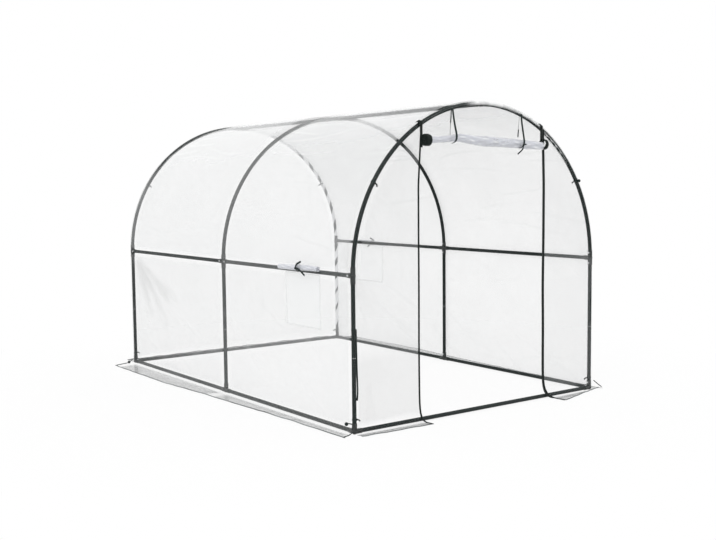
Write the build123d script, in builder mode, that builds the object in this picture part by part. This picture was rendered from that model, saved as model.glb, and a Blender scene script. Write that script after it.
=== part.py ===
"""Walk-in tunnel greenhouse: steel hoops and rails under a clear film cover with a rolled-up door.

Millimetres. The origin is on the ground in the middle of the plan, +Z is up, the door end is at -Y
and the left side is at -X.
"""
import os
from math import cos, degrees, radians, sin, sqrt

from build123d import *

# Frame
frame_width = 2000.0  # over the tubes
frame_length = 3000.0  # over the tubes
frame_height = 1900.0  # from the ground to the top of the hoops
tube_diameter = 25.0

# Connectors
connector_wall = 2.0
hub_bulge = 2.0  # how far a hub stands out from a plain sleeve
flare_bulge = 1.2  # how far the root of a rail sleeve stands out from a plain sleeve
socket_depth = 30.0
socket_clearance = 0.3

# Cover
film_thickness = 2.0
film_clearance = 0.3
roof_segments = 6
side_skirt_width = 140.0
rear_skirt_width = 150.0
front_skirt_widths = {"left": (60.0, 80.0), "right": (25.0, 150.0)}  # at the corner, at the door

# Door
door_width = 1040.0
door_roll_drop = 237.5  # from the crown of the hoops down to the axis of the rolled-up door
door_roll_core = 9.0  # radius of the innermost turn
roll_gap = 1.0  # between one turn of a rolled tape and the next
door_roll_turns = 6
zip_width = 14.0  # of one of its two tapes
zip_thickness = 3.0
zip_bend_radius = 60.0
zip_gap = 1.0  # between the two tapes where the zip is closed

# Windows
window_width = 360.0
window_height = 310.0
screen_drop = 2.0  # from the side rail's axis down to the screen's top edge
window_distance = 1000.0  # from the middle hoop to the window's centre
window_roll_length = 420.0
window_roll_rise = 15.0  # from the side rail's axis up to the roll's axis
window_roll_core = 7.0
window_roll_turns = 4
screen_margin = 18.0
screen_thickness = 1.0

# Ties
strap_width = 14.0
strap_thickness = 1.5
strap_clearance = 0.3
door_tie_distances = (-245.0, 320.0)  # from the middle of the door
door_tie_drop = 50.0  # from the edge of the cover down to the strap's sewn end
door_tie_bend_radius = 8.0
arch_tie_angle = 32.0  # degrees up the arch from its spring
leg_tie_height = 60.0

# Worked out from the driving sizes
tube_radius = tube_diameter / 2
socket_radius = tube_radius + socket_clearance
connector_radius = socket_radius + connector_wall
hub_radius = connector_radius + hub_bulge
flare_radius = connector_radius + flare_bulge
socket_reach = hub_radius + socket_depth
tube_stop = hub_radius + socket_clearance
base_axis = hub_radius
half_width = frame_width / 2 - tube_radius
half_length = frame_length / 2 - tube_radius
arch_radius = half_width
crown_axis = frame_height - tube_radius
spring_height = crown_axis - arch_radius
film_offset = hub_radius + film_clearance
cover_inner = half_width + film_offset
cover_outer = cover_inner + film_thickness
end_inner = half_length + film_offset
end_outer = end_inner + film_thickness
door_half = door_width / 2
zip_outer = door_half + zip_width
door_roll_height = crown_axis - door_roll_drop
roll_pitch = zip_thickness + roll_gap

hoop_places = {"front": -half_length, "middle": 0.0, "rear": half_length}
side_signs = {"left": -1, "right": 1}


def save(piece, label):
    """Name a finished piece and write it."""
    piece.part.label = label
    export_step(piece.part, f"parts/{label}.step")


def arch_angle(distance):
    """The angle, in degrees, that a distance along the arch covers."""
    return degrees(distance / arch_radius)


def arch_section(hoop_y, angle):
    """The plane across an arch tube at an angle: 0 is the right spring, 90 the crown."""
    turn = radians(angle)
    centre = (arch_radius * cos(turn), hoop_y, spring_height + arch_radius * sin(turn))
    return Plane(centre, x_dir=(cos(turn), 0, sin(turn)), z_dir=(-sin(turn), 0, cos(turn)))


def arch_axis(hoop_y):
    """The axis that an arch bends around, turning from the right spring to the crown."""
    return Axis((0, hoop_y, spring_height), (0, -1, 0))


def rail_ways(hoop_y):
    """The directions, along the tunnel, in which rails leave a hoop."""
    ways = []
    if hoop_y > -half_length:
        ways.append((0, -1, 0))
    if hoop_y < half_length:
        ways.append((0, 1, 0))
    return ways


def hub_plane(centre, pole_way):
    """The plane that turns a hub so that its poles and its seam lie inside the sleeves."""
    return Plane(centre, x_dir=rail_ways(centre[1])[0], z_dir=pole_way)


def base_ways(side, hoop_y):
    """The directions in which tubes leave a base connector."""
    ways = [(0, 0, 1)] + rail_ways(hoop_y)
    if abs(hoop_y) == half_length:
        ways.append((-side, 0, 0))
    return ways


def roll_reach(core, turns, thickness):
    """The distance from a roll's axis to its outside."""
    return core + turns * roll_pitch + thickness / 2


def roll_profile(plane, core, turns, thickness):
    """The end of a rolled sheet: half turns about two centres, each wider than the one before."""
    with BuildSketch(plane) as profile:
        with BuildLine():
            for half_turn in range(2 * turns + 1):
                centre = (roll_pitch / 2 * (half_turn % 2), 0)
                radius = core + half_turn * roll_pitch / 2
                begin = 180 * (half_turn % 2)
                inner = CenterArc(centre, radius - thickness / 2, begin, 180)
                outer = CenterArc(centre, radius + thickness / 2, begin, 180)
                if half_turn == 0:
                    Line(inner @ 0, outer @ 0)
            Line(inner @ 1, outer @ 1)
        make_face()
    return profile.sketch


os.makedirs("parts", exist_ok=True)

# Hoops: a leg and a quarter arch on each side
for hoop, hoop_y in hoop_places.items():
    for side, sign in side_signs.items():
        with BuildPart() as leg:
            with BuildSketch(Plane((sign * half_width, hoop_y, base_axis + tube_stop))):
                Circle(tube_radius)
            extrude(amount=spring_height - base_axis - 2 * tube_stop)
        save(leg, f"{hoop}_{side}_leg")

        arch_start = arch_angle(tube_stop) + (90 if side == "left" else 0)
        with BuildPart() as arch:
            with BuildSketch(arch_section(hoop_y, arch_start)):
                Circle(tube_radius)
            revolve(axis=arch_axis(hoop_y), revolution_arc=90 - 2 * arch_angle(tube_stop))
        save(arch, f"{hoop}_{side}_arch")

# Rails along the tunnel: one tube to each bay
bay_length = half_length - 2 * tube_stop
rail_lines = {
    "left_base_rail": (-half_width, base_axis),
    "right_base_rail": (half_width, base_axis),
    "left_side_rail": (-half_width, spring_height),
    "right_side_rail": (half_width, spring_height),
    "ridge_rail": (0, crown_axis),
}
for label, (rail_x, rail_z) in rail_lines.items():
    with BuildPart() as rail:
        for bay_start in (-half_length, 0):
            with BuildSketch(Plane((rail_x, bay_start + tube_stop, rail_z), z_dir=(0, 1, 0))):
                Circle(tube_radius)
            extrude(amount=bay_length)
    save(rail, label)

# Base rails across the two ends
for end in ("front", "rear"):
    with BuildPart() as cross_rail:
        rail_start = (-half_width + tube_stop, hoop_places[end], base_axis)
        with BuildSketch(Plane(rail_start, z_dir=(1, 0, 0))):
            Circle(tube_radius)
        extrude(amount=2 * (half_width - tube_stop))
    save(cross_rail, f"{end}_base_rail")

# Base connectors: a corner under each end leg and a tee under each middle leg
with BuildPart() as base_connectors:
    for sign in side_signs.values():
        for hoop_y in hoop_places.values():
            centre = (sign * half_width, hoop_y, base_axis)
            with Locations(centre):
                Sphere(hub_radius)
            for way in base_ways(sign, hoop_y):
                with BuildSketch(Plane(centre, z_dir=way)):
                    Circle(connector_radius)
                extrude(amount=socket_reach)
    for sign in side_signs.values():
        for hoop_y in hoop_places.values():
            centre = (sign * half_width, hoop_y, base_axis)
            for way in base_ways(sign, hoop_y):
                with BuildSketch(Plane(centre, z_dir=way).offset(hub_radius)):
                    Circle(socket_radius)
                extrude(amount=socket_depth, mode=Mode.SUBTRACT)
save(base_connectors, "base_connectors")

# Side rail connectors: leg below, arch above, and a flared sleeve to each rail
sleeve_angle = arch_angle(socket_reach)
hub_angle = arch_angle(hub_radius)
with BuildPart() as side_connectors:
    for side, sign in side_signs.items():
        for hoop_y in hoop_places.values():
            centre = (sign * half_width, hoop_y, spring_height)
            with Locations(hub_plane(centre, (0, 0, 1))):
                Sphere(hub_radius)
            with BuildSketch(Plane(centre, z_dir=(0, 0, -1))):
                Circle(connector_radius)
            extrude(amount=socket_reach)
            with BuildSketch(arch_section(hoop_y, 180 - sleeve_angle if side == "left" else 0)):
                Circle(connector_radius)
            revolve(axis=arch_axis(hoop_y), revolution_arc=sleeve_angle)
            for way in rail_ways(hoop_y):
                with BuildSketch(Plane(centre, z_dir=way)):
                    Circle(flare_radius)
                with BuildSketch(Plane(centre, z_dir=way).offset(socket_reach)):
                    Circle(connector_radius)
                loft()
    for side, sign in side_signs.items():
        for hoop_y in hoop_places.values():
            centre = (sign * half_width, hoop_y, spring_height)
            for way in [(0, 0, -1)] + rail_ways(hoop_y):
                with BuildSketch(Plane(centre, z_dir=way).offset(hub_radius)):
                    Circle(socket_radius)
                extrude(amount=socket_depth, mode=Mode.SUBTRACT)
            socket_start = 180 - sleeve_angle if side == "left" else hub_angle
            with BuildSketch(arch_section(hoop_y, socket_start)):
                Circle(socket_radius)
            revolve(
                axis=arch_axis(hoop_y),
                revolution_arc=sleeve_angle - hub_angle,
                mode=Mode.SUBTRACT,
            )
save(side_connectors, "side_rail_connectors")

# Ridge connectors: an arch to each side and a flared sleeve to each ridge rail
with BuildPart() as ridge_connectors:
    for hoop_y in hoop_places.values():
        centre = (0, hoop_y, crown_axis)
        with Locations(hub_plane(centre, (1, 0, 0))):
            Sphere(hub_radius)
        with BuildSketch(arch_section(hoop_y, 90 - sleeve_angle)):
            Circle(connector_radius)
        revolve(axis=arch_axis(hoop_y), revolution_arc=2 * sleeve_angle)
        for way in rail_ways(hoop_y):
            with BuildSketch(Plane(centre, z_dir=way)):
                Circle(flare_radius)
            with BuildSketch(Plane(centre, z_dir=way).offset(socket_reach)):
                Circle(connector_radius)
            loft()
    for hoop_y in hoop_places.values():
        centre = (0, hoop_y, crown_axis)
        for way in rail_ways(hoop_y):
            with BuildSketch(Plane(centre, z_dir=way).offset(hub_radius)):
                Circle(socket_radius)
            extrude(amount=socket_depth, mode=Mode.SUBTRACT)
        for socket_start in (90 - sleeve_angle, 90 + hub_angle):
            with BuildSketch(arch_section(hoop_y, socket_start)):
                Circle(socket_radius)
            revolve(
                axis=arch_axis(hoop_y),
                revolution_arc=sleeve_angle - hub_angle,
                mode=Mode.SUBTRACT,
            )
save(ridge_connectors, "ridge_connectors")

# Roof: the film over the arches, from the right spring to the left one
segment_angle = 180 / roof_segments
for segment in range(roof_segments):
    start = segment * segment_angle
    with BuildPart() as roof:
        with BuildSketch(Plane.XZ.offset(-end_inner)):
            with BuildLine():
                inner = CenterArc((0, spring_height), cover_inner, start, segment_angle)
                outer = CenterArc((0, spring_height), cover_outer, start, segment_angle)
                Line(inner @ 0, outer @ 0)
                Line(inner @ 1, outer @ 1)
            make_face()
        extrude(amount=2 * end_inner)
    save(roof, f"roof_film_{segment + 1}")

# Side walls, each with a window: the left one in the front bay, the right one in the rear bay
window_middle = spring_height - screen_drop - screen_margin - window_height / 2
for side, sign in side_signs.items():
    window_y = sign * window_distance
    wall_back = cover_inner if side == "right" else -cover_outer
    with BuildPart() as wall:
        with BuildSketch(Plane.YZ.offset(wall_back)):
            with Locations((0, spring_height / 2)):
                Rectangle(2 * end_inner, spring_height)
            with Locations((window_y, window_middle)):
                Rectangle(window_width, window_height, mode=Mode.SUBTRACT)
        extrude(amount=film_thickness)
    save(wall, f"{side}_wall_film")

# Mesh screens, sewn to the inside of the film around the windows
with BuildPart() as screens:
    for side, sign in side_signs.items():
        screen_back = cover_inner - screen_thickness if side == "right" else -cover_inner
        with BuildSketch(Plane.YZ.offset(screen_back)):
            with Locations((sign * window_distance, window_middle)):
                Rectangle(window_width + 2 * screen_margin, window_height + 2 * screen_margin)
        extrude(amount=screen_thickness)
save(screens, "window_screens")

# End panels: the rear one whole, the front one left, right and above the doorway
panel_spans = {
    "front_left_panel": (-cover_outer, -door_half, 0),
    "front_right_panel": (door_half, cover_outer, 0),
    "door_upper_film": (-door_half, door_half, door_roll_height),
    "rear_panel": (-cover_outer, cover_outer, 0),
}
cover_top = spring_height + cover_outer
for label, (span_left, span_right, span_bottom) in panel_spans.items():
    panel_back = -end_outer if label == "rear_panel" else end_inner
    with BuildPart() as panel:
        with BuildSketch(Plane.XZ.offset(panel_back)):
            with Locations((0, spring_height / 2)):
                Rectangle(2 * cover_outer, spring_height)
            with Locations((0, spring_height)):
                Circle(cover_outer)
            with Locations(((span_left + span_right) / 2, (span_bottom + cover_top) / 2)):
                Rectangle(span_right - span_left, cover_top - span_bottom, mode=Mode.INTERSECT)
        extrude(amount=film_thickness)
    save(panel, label)

# Skirts: flaps of the film that lie on the ground
with BuildPart() as side_skirts:
    with BuildSketch():
        for sign in side_signs.values():
            with Locations((sign * (cover_outer + side_skirt_width / 2), 0)):
                Rectangle(side_skirt_width, 2 * end_outer)
    extrude(amount=film_thickness)
save(side_skirts, "side_skirts")

with BuildPart() as front_skirts:
    with BuildSketch():
        for side, sign in side_signs.items():
            corner_width, door_side_width = front_skirt_widths[side]
            with BuildLine():
                Polyline(
                    (sign * cover_outer, -end_outer),
                    (sign * cover_outer, -end_outer - corner_width),
                    (sign * door_half, -end_outer - door_side_width),
                    (sign * door_half, -end_outer),
                    close=True,
                )
            make_face()
    extrude(amount=film_thickness)
save(front_skirts, "front_skirts")

with BuildPart() as rear_skirt:
    with BuildSketch():
        with Locations((0, end_outer + rear_skirt_width / 2)):
            Rectangle(2 * cover_outer, rear_skirt_width)
    extrude(amount=film_thickness)
save(rear_skirt, "rear_skirt")

# The door, rolled up in front of its own upper film, with the zip tapes wound into its two ends
door_roll_reach = roll_reach(door_roll_core, door_roll_turns, zip_thickness)
door_roll_y = -end_outer - film_clearance - door_roll_reach
roll_spans = {
    "door_roll": (film_thickness, [(-door_half + zip_width, door_width - 2 * zip_width)]),
    "door_roll_tapes": (zip_thickness, [(-door_half, zip_width), (door_half - zip_width, zip_width)]),
}
for label, (thickness, spans) in roll_spans.items():
    with BuildPart() as roll:
        for roll_start, roll_length in spans:
            roll_end = Plane((roll_start, door_roll_y, door_roll_height), x_dir=(0, 1, 0), z_dir=(1, 0, 0))
            extrude(
                roll_profile(roll_end, door_roll_core, door_roll_turns, thickness),
                amount=roll_length,
            )
    save(roll, label)

# Door zips: one tape down the edge of each front panel and out along the skirt, and its fellow on the
# door's edge above the roll, where the zip stays closed
zip_top = spring_height + sqrt(cover_outer**2 - zip_outer**2)
zip_face = -end_outer - zip_thickness / 2
zip_floor = film_thickness + zip_thickness / 2
closed_zip_bottom = door_roll_height + door_roll_reach + film_clearance
with BuildPart() as door_zips:
    for side, sign in side_signs.items():
        with BuildSketch(Plane.YZ.offset(-zip_outer if side == "left" else door_half)):
            with BuildLine():
                FilletPolyline(
                    (zip_face, zip_top),
                    (zip_face, zip_floor),
                    (-end_outer - front_skirt_widths[side][1], zip_floor),
                    radius=zip_bend_radius,
                )
            trace(line_width=zip_thickness)
        extrude(amount=zip_width)
        fellow_middle = sign * (door_half - zip_gap - zip_width / 2)
        with BuildSketch(Plane.XZ.offset(end_outer)):
            with Locations((fellow_middle, (zip_top + closed_zip_bottom) / 2)):
                Rectangle(zip_width, zip_top - closed_zip_bottom)
        extrude(amount=zip_thickness)
save(door_zips, "door_zips")

# Door ties: straps from the film over the front of the roll, under it, and up behind the film
strap_gap = strap_clearance + strap_thickness / 2
roll_front = door_roll_y - door_roll_reach - strap_gap
roll_under = door_roll_height - door_roll_reach - strap_gap
with BuildPart() as door_ties:
    for tie_x in door_tie_distances:
        tie_top = spring_height + sqrt(cover_outer**2 - tie_x**2) - door_tie_drop
        with BuildSketch(Plane.YZ.offset(tie_x - strap_width / 2)):
            with BuildLine():
                FilletPolyline(
                    (-end_outer - strap_thickness / 2, tie_top),
                    (roll_front, door_roll_height + door_roll_reach / 2),
                    (roll_front, roll_under),
                    (-end_inner + strap_thickness / 2, roll_under),
                    (-end_inner + strap_thickness / 2, tie_top),
                    radius=(door_roll_reach, door_roll_reach, door_tie_bend_radius),
                )
            trace(line_width=strap_thickness)
        extrude(amount=strap_width)
save(door_ties, "door_ties")

# Window flaps rolled up over the windows, each in a strap sewn to the wall
window_roll_reach = roll_reach(window_roll_core, window_roll_turns, film_thickness)
window_roll_z = spring_height + window_roll_rise
window_roll_x = cover_outer + 2 * strap_clearance + strap_thickness + window_roll_reach
with BuildPart() as window_rolls:
    for sign in side_signs.values():
        roll_start = (sign * window_roll_x, sign * window_distance + window_roll_length / 2, window_roll_z)
        roll_end = Plane(roll_start, x_dir=(1, 0, 0), z_dir=(0, -1, 0))
        extrude(
            roll_profile(roll_end, window_roll_core, window_roll_turns, film_thickness),
            amount=window_roll_length,
        )
save(window_rolls, "window_rolls")

with BuildPart() as window_ties:
    for sign in side_signs.values():
        tie_start = (sign * window_roll_x, sign * window_distance + strap_width / 2, window_roll_z)
        with BuildSketch(Plane(tie_start, x_dir=(1, 0, 0), z_dir=(0, -1, 0))):
            Circle(window_roll_reach + strap_clearance + strap_thickness)
            Circle(window_roll_reach + strap_clearance, mode=Mode.SUBTRACT)
        extrude(amount=strap_width)
save(window_ties, "window_ties")

# Cover ties: straps around the arches and the feet of the legs at both ends
tie_inner = tube_radius + strap_clearance
tie_outer = tie_inner + strap_thickness
tie_angle = arch_angle(strap_width)
with BuildPart() as cover_ties:
    for end in ("front", "rear"):
        hoop_y = hoop_places[end]
        for tie_place in (arch_tie_angle, 180 - arch_tie_angle):
            with BuildSketch(arch_section(hoop_y, tie_place - tie_angle / 2)):
                Circle(tie_outer)
                Circle(tie_inner, mode=Mode.SUBTRACT)
            revolve(axis=arch_axis(hoop_y), revolution_arc=tie_angle)
        for sign in side_signs.values():
            with BuildSketch(Plane((sign * half_width, hoop_y, base_axis + leg_tie_height))):
                Circle(tie_outer)
                Circle(tie_inner, mode=Mode.SUBTRACT)
            extrude(amount=strap_width)
save(cover_ties, "cover_ties")
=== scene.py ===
"""Looks of the film tunnel greenhouse: clear film, rolled door and windows, zips, ties and the frame.

Metres, in the frame's own axes: +Z up, the door end at -Y, the left side at -X.
"""
import math
import random

import bpy
import numpy as np
from mathutils import Matrix, Vector


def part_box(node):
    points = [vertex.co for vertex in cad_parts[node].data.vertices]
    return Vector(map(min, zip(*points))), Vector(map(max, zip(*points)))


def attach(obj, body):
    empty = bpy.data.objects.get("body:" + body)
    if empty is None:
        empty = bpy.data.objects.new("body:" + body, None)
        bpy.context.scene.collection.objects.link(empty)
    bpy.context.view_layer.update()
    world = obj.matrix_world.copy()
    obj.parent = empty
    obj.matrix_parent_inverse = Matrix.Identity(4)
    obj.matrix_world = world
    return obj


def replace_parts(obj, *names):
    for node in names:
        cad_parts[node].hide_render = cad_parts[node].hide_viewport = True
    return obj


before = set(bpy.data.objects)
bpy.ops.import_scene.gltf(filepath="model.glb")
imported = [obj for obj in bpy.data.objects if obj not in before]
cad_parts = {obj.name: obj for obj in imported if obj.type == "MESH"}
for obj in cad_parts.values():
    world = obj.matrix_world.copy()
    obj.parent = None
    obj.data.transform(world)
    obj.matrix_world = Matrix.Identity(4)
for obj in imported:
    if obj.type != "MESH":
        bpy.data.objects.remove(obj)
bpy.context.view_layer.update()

BODY = "root"


def middle(node):
    """The centre of a node's box."""
    low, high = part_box(node)
    return (low + high) / 2


def size(node):
    """The size of a node's box."""
    low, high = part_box(node)
    return high - low


# Sizes read from the frame
HALF_WIDTH = middle("front_right_leg").x
HALF_LENGTH = middle("rear_right_leg").y
TUBE_RADIUS = size("front_right_leg").x / 2
BASE_AXIS = middle("front_base_rail").z
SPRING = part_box("roof_film_1")[0].z
FILM_RADIUS = middle("right_wall_film").x
FILM_OFFSET = FILM_RADIUS - HALF_WIDTH
END_PLANE = middle("rear_panel").y
CROWN_AXIS = middle("ridge_rail").z
DOOR_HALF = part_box("door_upper_film")[1].x
ROLL_HEIGHT = middle("door_roll").z
ROLL_REACH = size("door_roll").z / 2
CONNECTOR_RADIUS = size("side_rail_connectors").x / 2 - HALF_WIDTH
WINDOW_ROLL_X = middle("window_rolls").x + size("window_rolls").x / 2 - size("window_rolls").z / 2
WINDOW_ROLL_Z = middle("window_rolls").z
WINDOW_ROLL_REACH = size("window_rolls").z / 2
HOOP_PLACES = (-HALF_LENGTH, 0.0, HALF_LENGTH)
SIDES = {"left": -1, "right": 1}

# Film
FILM_THICKNESS = 0.0006
FILM_LIFT = 0.0015  # of the skirts off the ground
WALL_BEND = 0.018  # radius where a wall turns out into its skirt
SAG = 0.009
PANEL_SAG = 0.006
SKIRT_PLACES = (-1.0, -0.49, 0.09, 0.38, 1.0)  # along the tunnel, as shares of its half length
SKIRT_WIDTHS = (0.076, 0.095, 0.137, 0.172, 0.166)  # of the side skirts at those places
SKIRT_RUNS = (0.02, -0.045)  # how far the side skirts' outer corners run past the front and the rear hoop
SKIRT_RUN_LENGTH = 0.25  # of the skirts' stretches that run out so
STANDING_HEIGHT = 0.002  # above which the film stands

# Front panels: the skirt's width, the radius of the bend above it, how far the panel is kicked aside at its
# foot and how far the skirt's outer edge swings aside
FRONT_SKIRTS = {
    "left": {"corner": (0.058, 0.014, 0.0, 0.0), "door": (0.080, 0.03, 0.035, 0.0)},
    "right": {"corner": (-0.018, 0.012, 0.0, 0.094), "door": (0.120, 0.03, 0.085, 0.0)},
}
KICK_HEIGHT = 0.04  # over which a panel's edge is drawn aside above the ground
REAR_SKIRT = 0.14

# Windows
WINDOW_WIDTH = 0.36
WINDOW_HEIGHT = 0.31
SCREEN_MARGIN = 0.018
WINDOW_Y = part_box("window_screens")[1].y - SCREEN_MARGIN - WINDOW_WIDTH / 2
WINDOW_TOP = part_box("window_screens")[1].z - SCREEN_MARGIN
WINDOW_BOTTOM = WINDOW_TOP - WINDOW_HEIGHT
WINDOW_EDGES = (WINDOW_Y - WINDOW_WIDTH / 2, WINDOW_Y + WINDOW_WIDTH / 2)
WINDOW_ROLL_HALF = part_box("window_rolls")[1].y - WINDOW_Y
BORDER_WIDTH = 0.012
BORDER_THICKNESS = 0.0012
BORDER_LIFT = 0.0016  # off the wall
THREAD = 0.0004
THREAD_PITCH = 0.003
THREAD_OVERLAP = 0.006  # of the screens behind the edges of the openings
THREAD_DEPTH = 0.0018  # of the screens behind the film

# Zips, hems and straps
TAPE_WIDTHS = {"left": 0.012, "right": 0.023}
DOOR_TAPE_WIDTH = 0.018
DOOR_TAPE_INSETS = {"left": 0.010, "right": 0.021}  # of the door's tapes from the edges of the doorway
ZIP_ASIDES = {"left": 0.006, "right": -0.004}  # of the panels' tapes, outwards from those edges
ZIP_LEANS = {"left": 0.020, "right": 0.010}  # inwards at the top
ZIP_LEAN_HEIGHTS = (1.40, 1.70)
TAPE_THICKNESS = 0.0012
TOOTH_PITCH = 0.0045
TOOTH = (0.0026, 0.0036, 0.0018)  # length, width and height
HEM_WIDTH = 0.007
HEM_HEIGHT = 0.0035
SIDE_HEM_SHARES = {"left": 1.0, "right": 0.25}  # of that height, on the long sides
STRAP_WIDTH = 0.011
DOOR_STRAP_WIDTH = 0.014
STRAP_THICKNESS = 0.001
KNOT_THICKNESS = 0.0014
KNOT_GAP = 0.002  # of a knot from its strap
STRAP_SECTION = (
    (-0.5, -0.35), (-0.4, -0.5), (0.4, -0.5), (0.5, -0.35),
    (0.5, 0.35), (0.4, 0.5), (-0.4, 0.5), (-0.5, 0.35),
)
THREAD_SECTION = ((-0.5, -0.5), (0.5, -0.5), (0.5, 0.5), (-0.5, 0.5))

# Floor, camera and picture
FLOOR_HALF = 40.0
PICTURE = (716, 540)
FOCAL_PIXELS = 1005.75
SENSOR_WIDTH = 36.0
CAMERA_PLACE = (-4.2693, -6.0077, 1.4091)
CAMERA_TURN = (-36.279, 4.870, -0.6025)  # heading, elevation and roll, in degrees
LAMPS = {"key": ((48, 0, -62), 1.1, 50), "fill": ((55, 0, 50), 0.45, 70)}  # turn, strength and spread


# Node materials

MIX_SOCKETS = {"first": 6, "second": 7, "result": 2}  # of the mixing node, for colours
NOISE_RANGE = (0.3, 0.7)  # the usual one
WHITE = (1, 1, 1, 1)


class Nodes:
    """The node tree of a material or a world, with short ways to add to it."""

    def __init__(self, owner):
        owner.use_nodes = True
        self.owner = owner
        self.tree = owner.node_tree

    def put(self, node, inputs):
        """Sets a node's inputs, each to another node's output or to a plain value."""
        for name, value in inputs.items():
            if isinstance(value, bpy.types.NodeSocket):
                self.tree.links.new(value, node.inputs[name])
            else:
                node.inputs[name].default_value = value

    def add(self, kind, output, inputs, **settings):
        """One output of a new node."""
        node = self.tree.nodes.new("ShaderNode" + kind)
        for name, value in settings.items():
            setattr(node, name, value)
        self.put(node, inputs)
        return node.outputs[output]

    def place(self):
        """The place on the object."""
        return self.add("TexCoord", "Object", {})

    def noise(self, scale, detail=3.0, roughness=0.55):
        """A noise in object space."""
        inputs = {"Vector": self.place(), "Scale": scale, "Detail": detail, "Roughness": roughness}
        return self.add("TexNoise", "Fac", inputs)

    def remap(self, value, low, high, to_low, to_high):
        """A value taken from one range to another, and held inside it."""
        inputs = {"Value": value, "From Min": low, "From Max": high, "To Min": to_low, "To Max": to_high}
        return self.add("MapRange", "Result", inputs)

    def vary(self, noise, low, high):
        """The usual range of a noise taken to another."""
        return self.remap(noise, *NOISE_RANGE, low, high)

    def work(self, operation, first, second):
        """One sum of two values."""
        return self.add("Math", "Value", {0: first, 1: second}, operation=operation)

    def blend(self, factor, first, second):
        """A mix of two colours."""
        inputs = {"Factor": factor, MIX_SOCKETS["first"]: (*first, 1), MIX_SOCKETS["second"]: (*second, 1)}
        return self.add("Mix", MIX_SOCKETS["result"], inputs, data_type="RGBA")

    def bump(self, height, strength, distance):
        """A bump from a height."""
        return self.add("Bump", "Normal", {"Height": height, "Strength": strength, "Distance": distance})

    def seen(self):
        """1 for rays from the camera, off gloss and through glass."""
        rays = self.tree.nodes.new("ShaderNodeLightPath").outputs
        direct = self.work("MAXIMUM", rays["Is Camera Ray"], rays["Is Glossy Ray"])
        return self.work("MAXIMUM", direct, rays["Is Transmission Ray"])

    def finish(self, inputs):
        """The material, with the inputs of its shader."""
        self.put(self.tree.nodes["Principled BSDF"], inputs)
        return self.owner


def new_nodes(name):
    """The nodes of a new material."""
    return Nodes(bpy.data.materials.new(name))


def coated_steel():
    """Dark green powder coat on steel tube: a fine orange peel, dust and small rubs."""
    nodes = new_nodes("green_powder_coat")
    tone_mask = nodes.remap(nodes.noise(9.0, 6.0, 0.65), 0.35, 0.75, 0, 1)
    return nodes.finish({
        "Base Color": nodes.blend(tone_mask, (0.006, 0.0115, 0.0105), (0.011, 0.0175, 0.0165)),
        "Roughness": nodes.vary(nodes.noise(60.0), 0.34, 0.48),
        "Specular IOR Level": 0.22,
        "Normal": nodes.bump(nodes.noise(700.0, 2.0), 0.12, 0.0003),
    })


def moulded_plastic():
    """Black-green moulded connectors with a fine spark grain."""
    nodes = new_nodes("moulded_connector")
    return nodes.finish({
        "Base Color": nodes.blend(nodes.noise(30.0, 5.0), (0.006, 0.009, 0.0085), (0.014, 0.019, 0.018)),
        "Roughness": nodes.vary(nodes.noise(120.0), 0.38, 0.55),
        "Normal": nodes.bump(nodes.noise(1400.0, 2.0), 0.18, 0.0002),
    })


def zinc_steel():
    """Bright zinc on the screws and the bare ends of the tube joints."""
    nodes = new_nodes("zinc_steel")
    return nodes.finish({
        "Base Color": nodes.blend(nodes.noise(300.0), (0.62, 0.64, 0.65), (0.80, 0.81, 0.82)),
        "Metallic": 0.7,
        "Roughness": nodes.vary(nodes.noise(500.0), 0.22, 0.42),
    })


SHEET_FIELDS = ("crease_highlight", "dappled_glint", "clear", "shade")


def film(name, haze, crease_haze, edge_haze, colours, roughness):
    """Clear film: a thin veil, thicker on creases and where it is seen edge on, and whitened there as a
    painted highlight and a painted reflection.

    A sheet's points say where it is creased with a painted highlight, dappled with a painted glint, clear
    on a tube, or painted with shade.
    """
    nodes = new_nodes(name)
    fine = nodes.noise(38.0, 4.0, 0.6)
    spots = nodes.remap(nodes.noise(11.0, 1.0, 0.5), 0.44, 0.56, 0, 1)
    crease_highlight, dappled_glint, clear, shade = (
        nodes.add("Attribute", "Fac", {}, attribute_name=field) for field in SHEET_FIELDS
    )
    crease_highlight = nodes.work("ADD", crease_highlight, nodes.work("MULTIPLY", dappled_glint, spots))
    edge = nodes.work("POWER", nodes.add("LayerWeight", "Facing", {"Blend": 0.5}), 4.0)
    # Creases and glints are whitened as a painted highlight, and film seen edge on as a painted reflection
    white = nodes.work("ADD", nodes.remap(crease_highlight, 0, 0.5, 0, 1), nodes.remap(edge, 0, 0.4, 0, 0.6))
    colour = nodes.blend(nodes.work("MINIMUM", white, 1.0), *colours)
    # The shade field darkens the colour as painted shade
    dimmed = {"Color": colour, "Value": nodes.remap(shade, 0, 1, 1.0, 0.32)}
    veil = nodes.vary(nodes.noise(2.2, 5.0, 0.6), haze * 0.85, haze * 1.15)
    veil = nodes.work("ADD", veil, nodes.work("MULTIPLY", crease_highlight, crease_haze))
    veil = nodes.work("ADD", veil, nodes.work("MULTIPLY", edge, edge_haze))
    veil = nodes.work("MULTIPLY", veil, nodes.work("SUBTRACT", 1.0, clear))
    return nodes.finish({
        "Base Color": nodes.add("HueSaturation", "Color", dimmed),
        "Roughness": nodes.vary(fine, roughness * 0.7, roughness * 1.4),
        "Alpha": nodes.work("MINIMUM", veil, 1.0),
        "Normal": nodes.bump(fine, 0.10, 0.004),
    })


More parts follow.
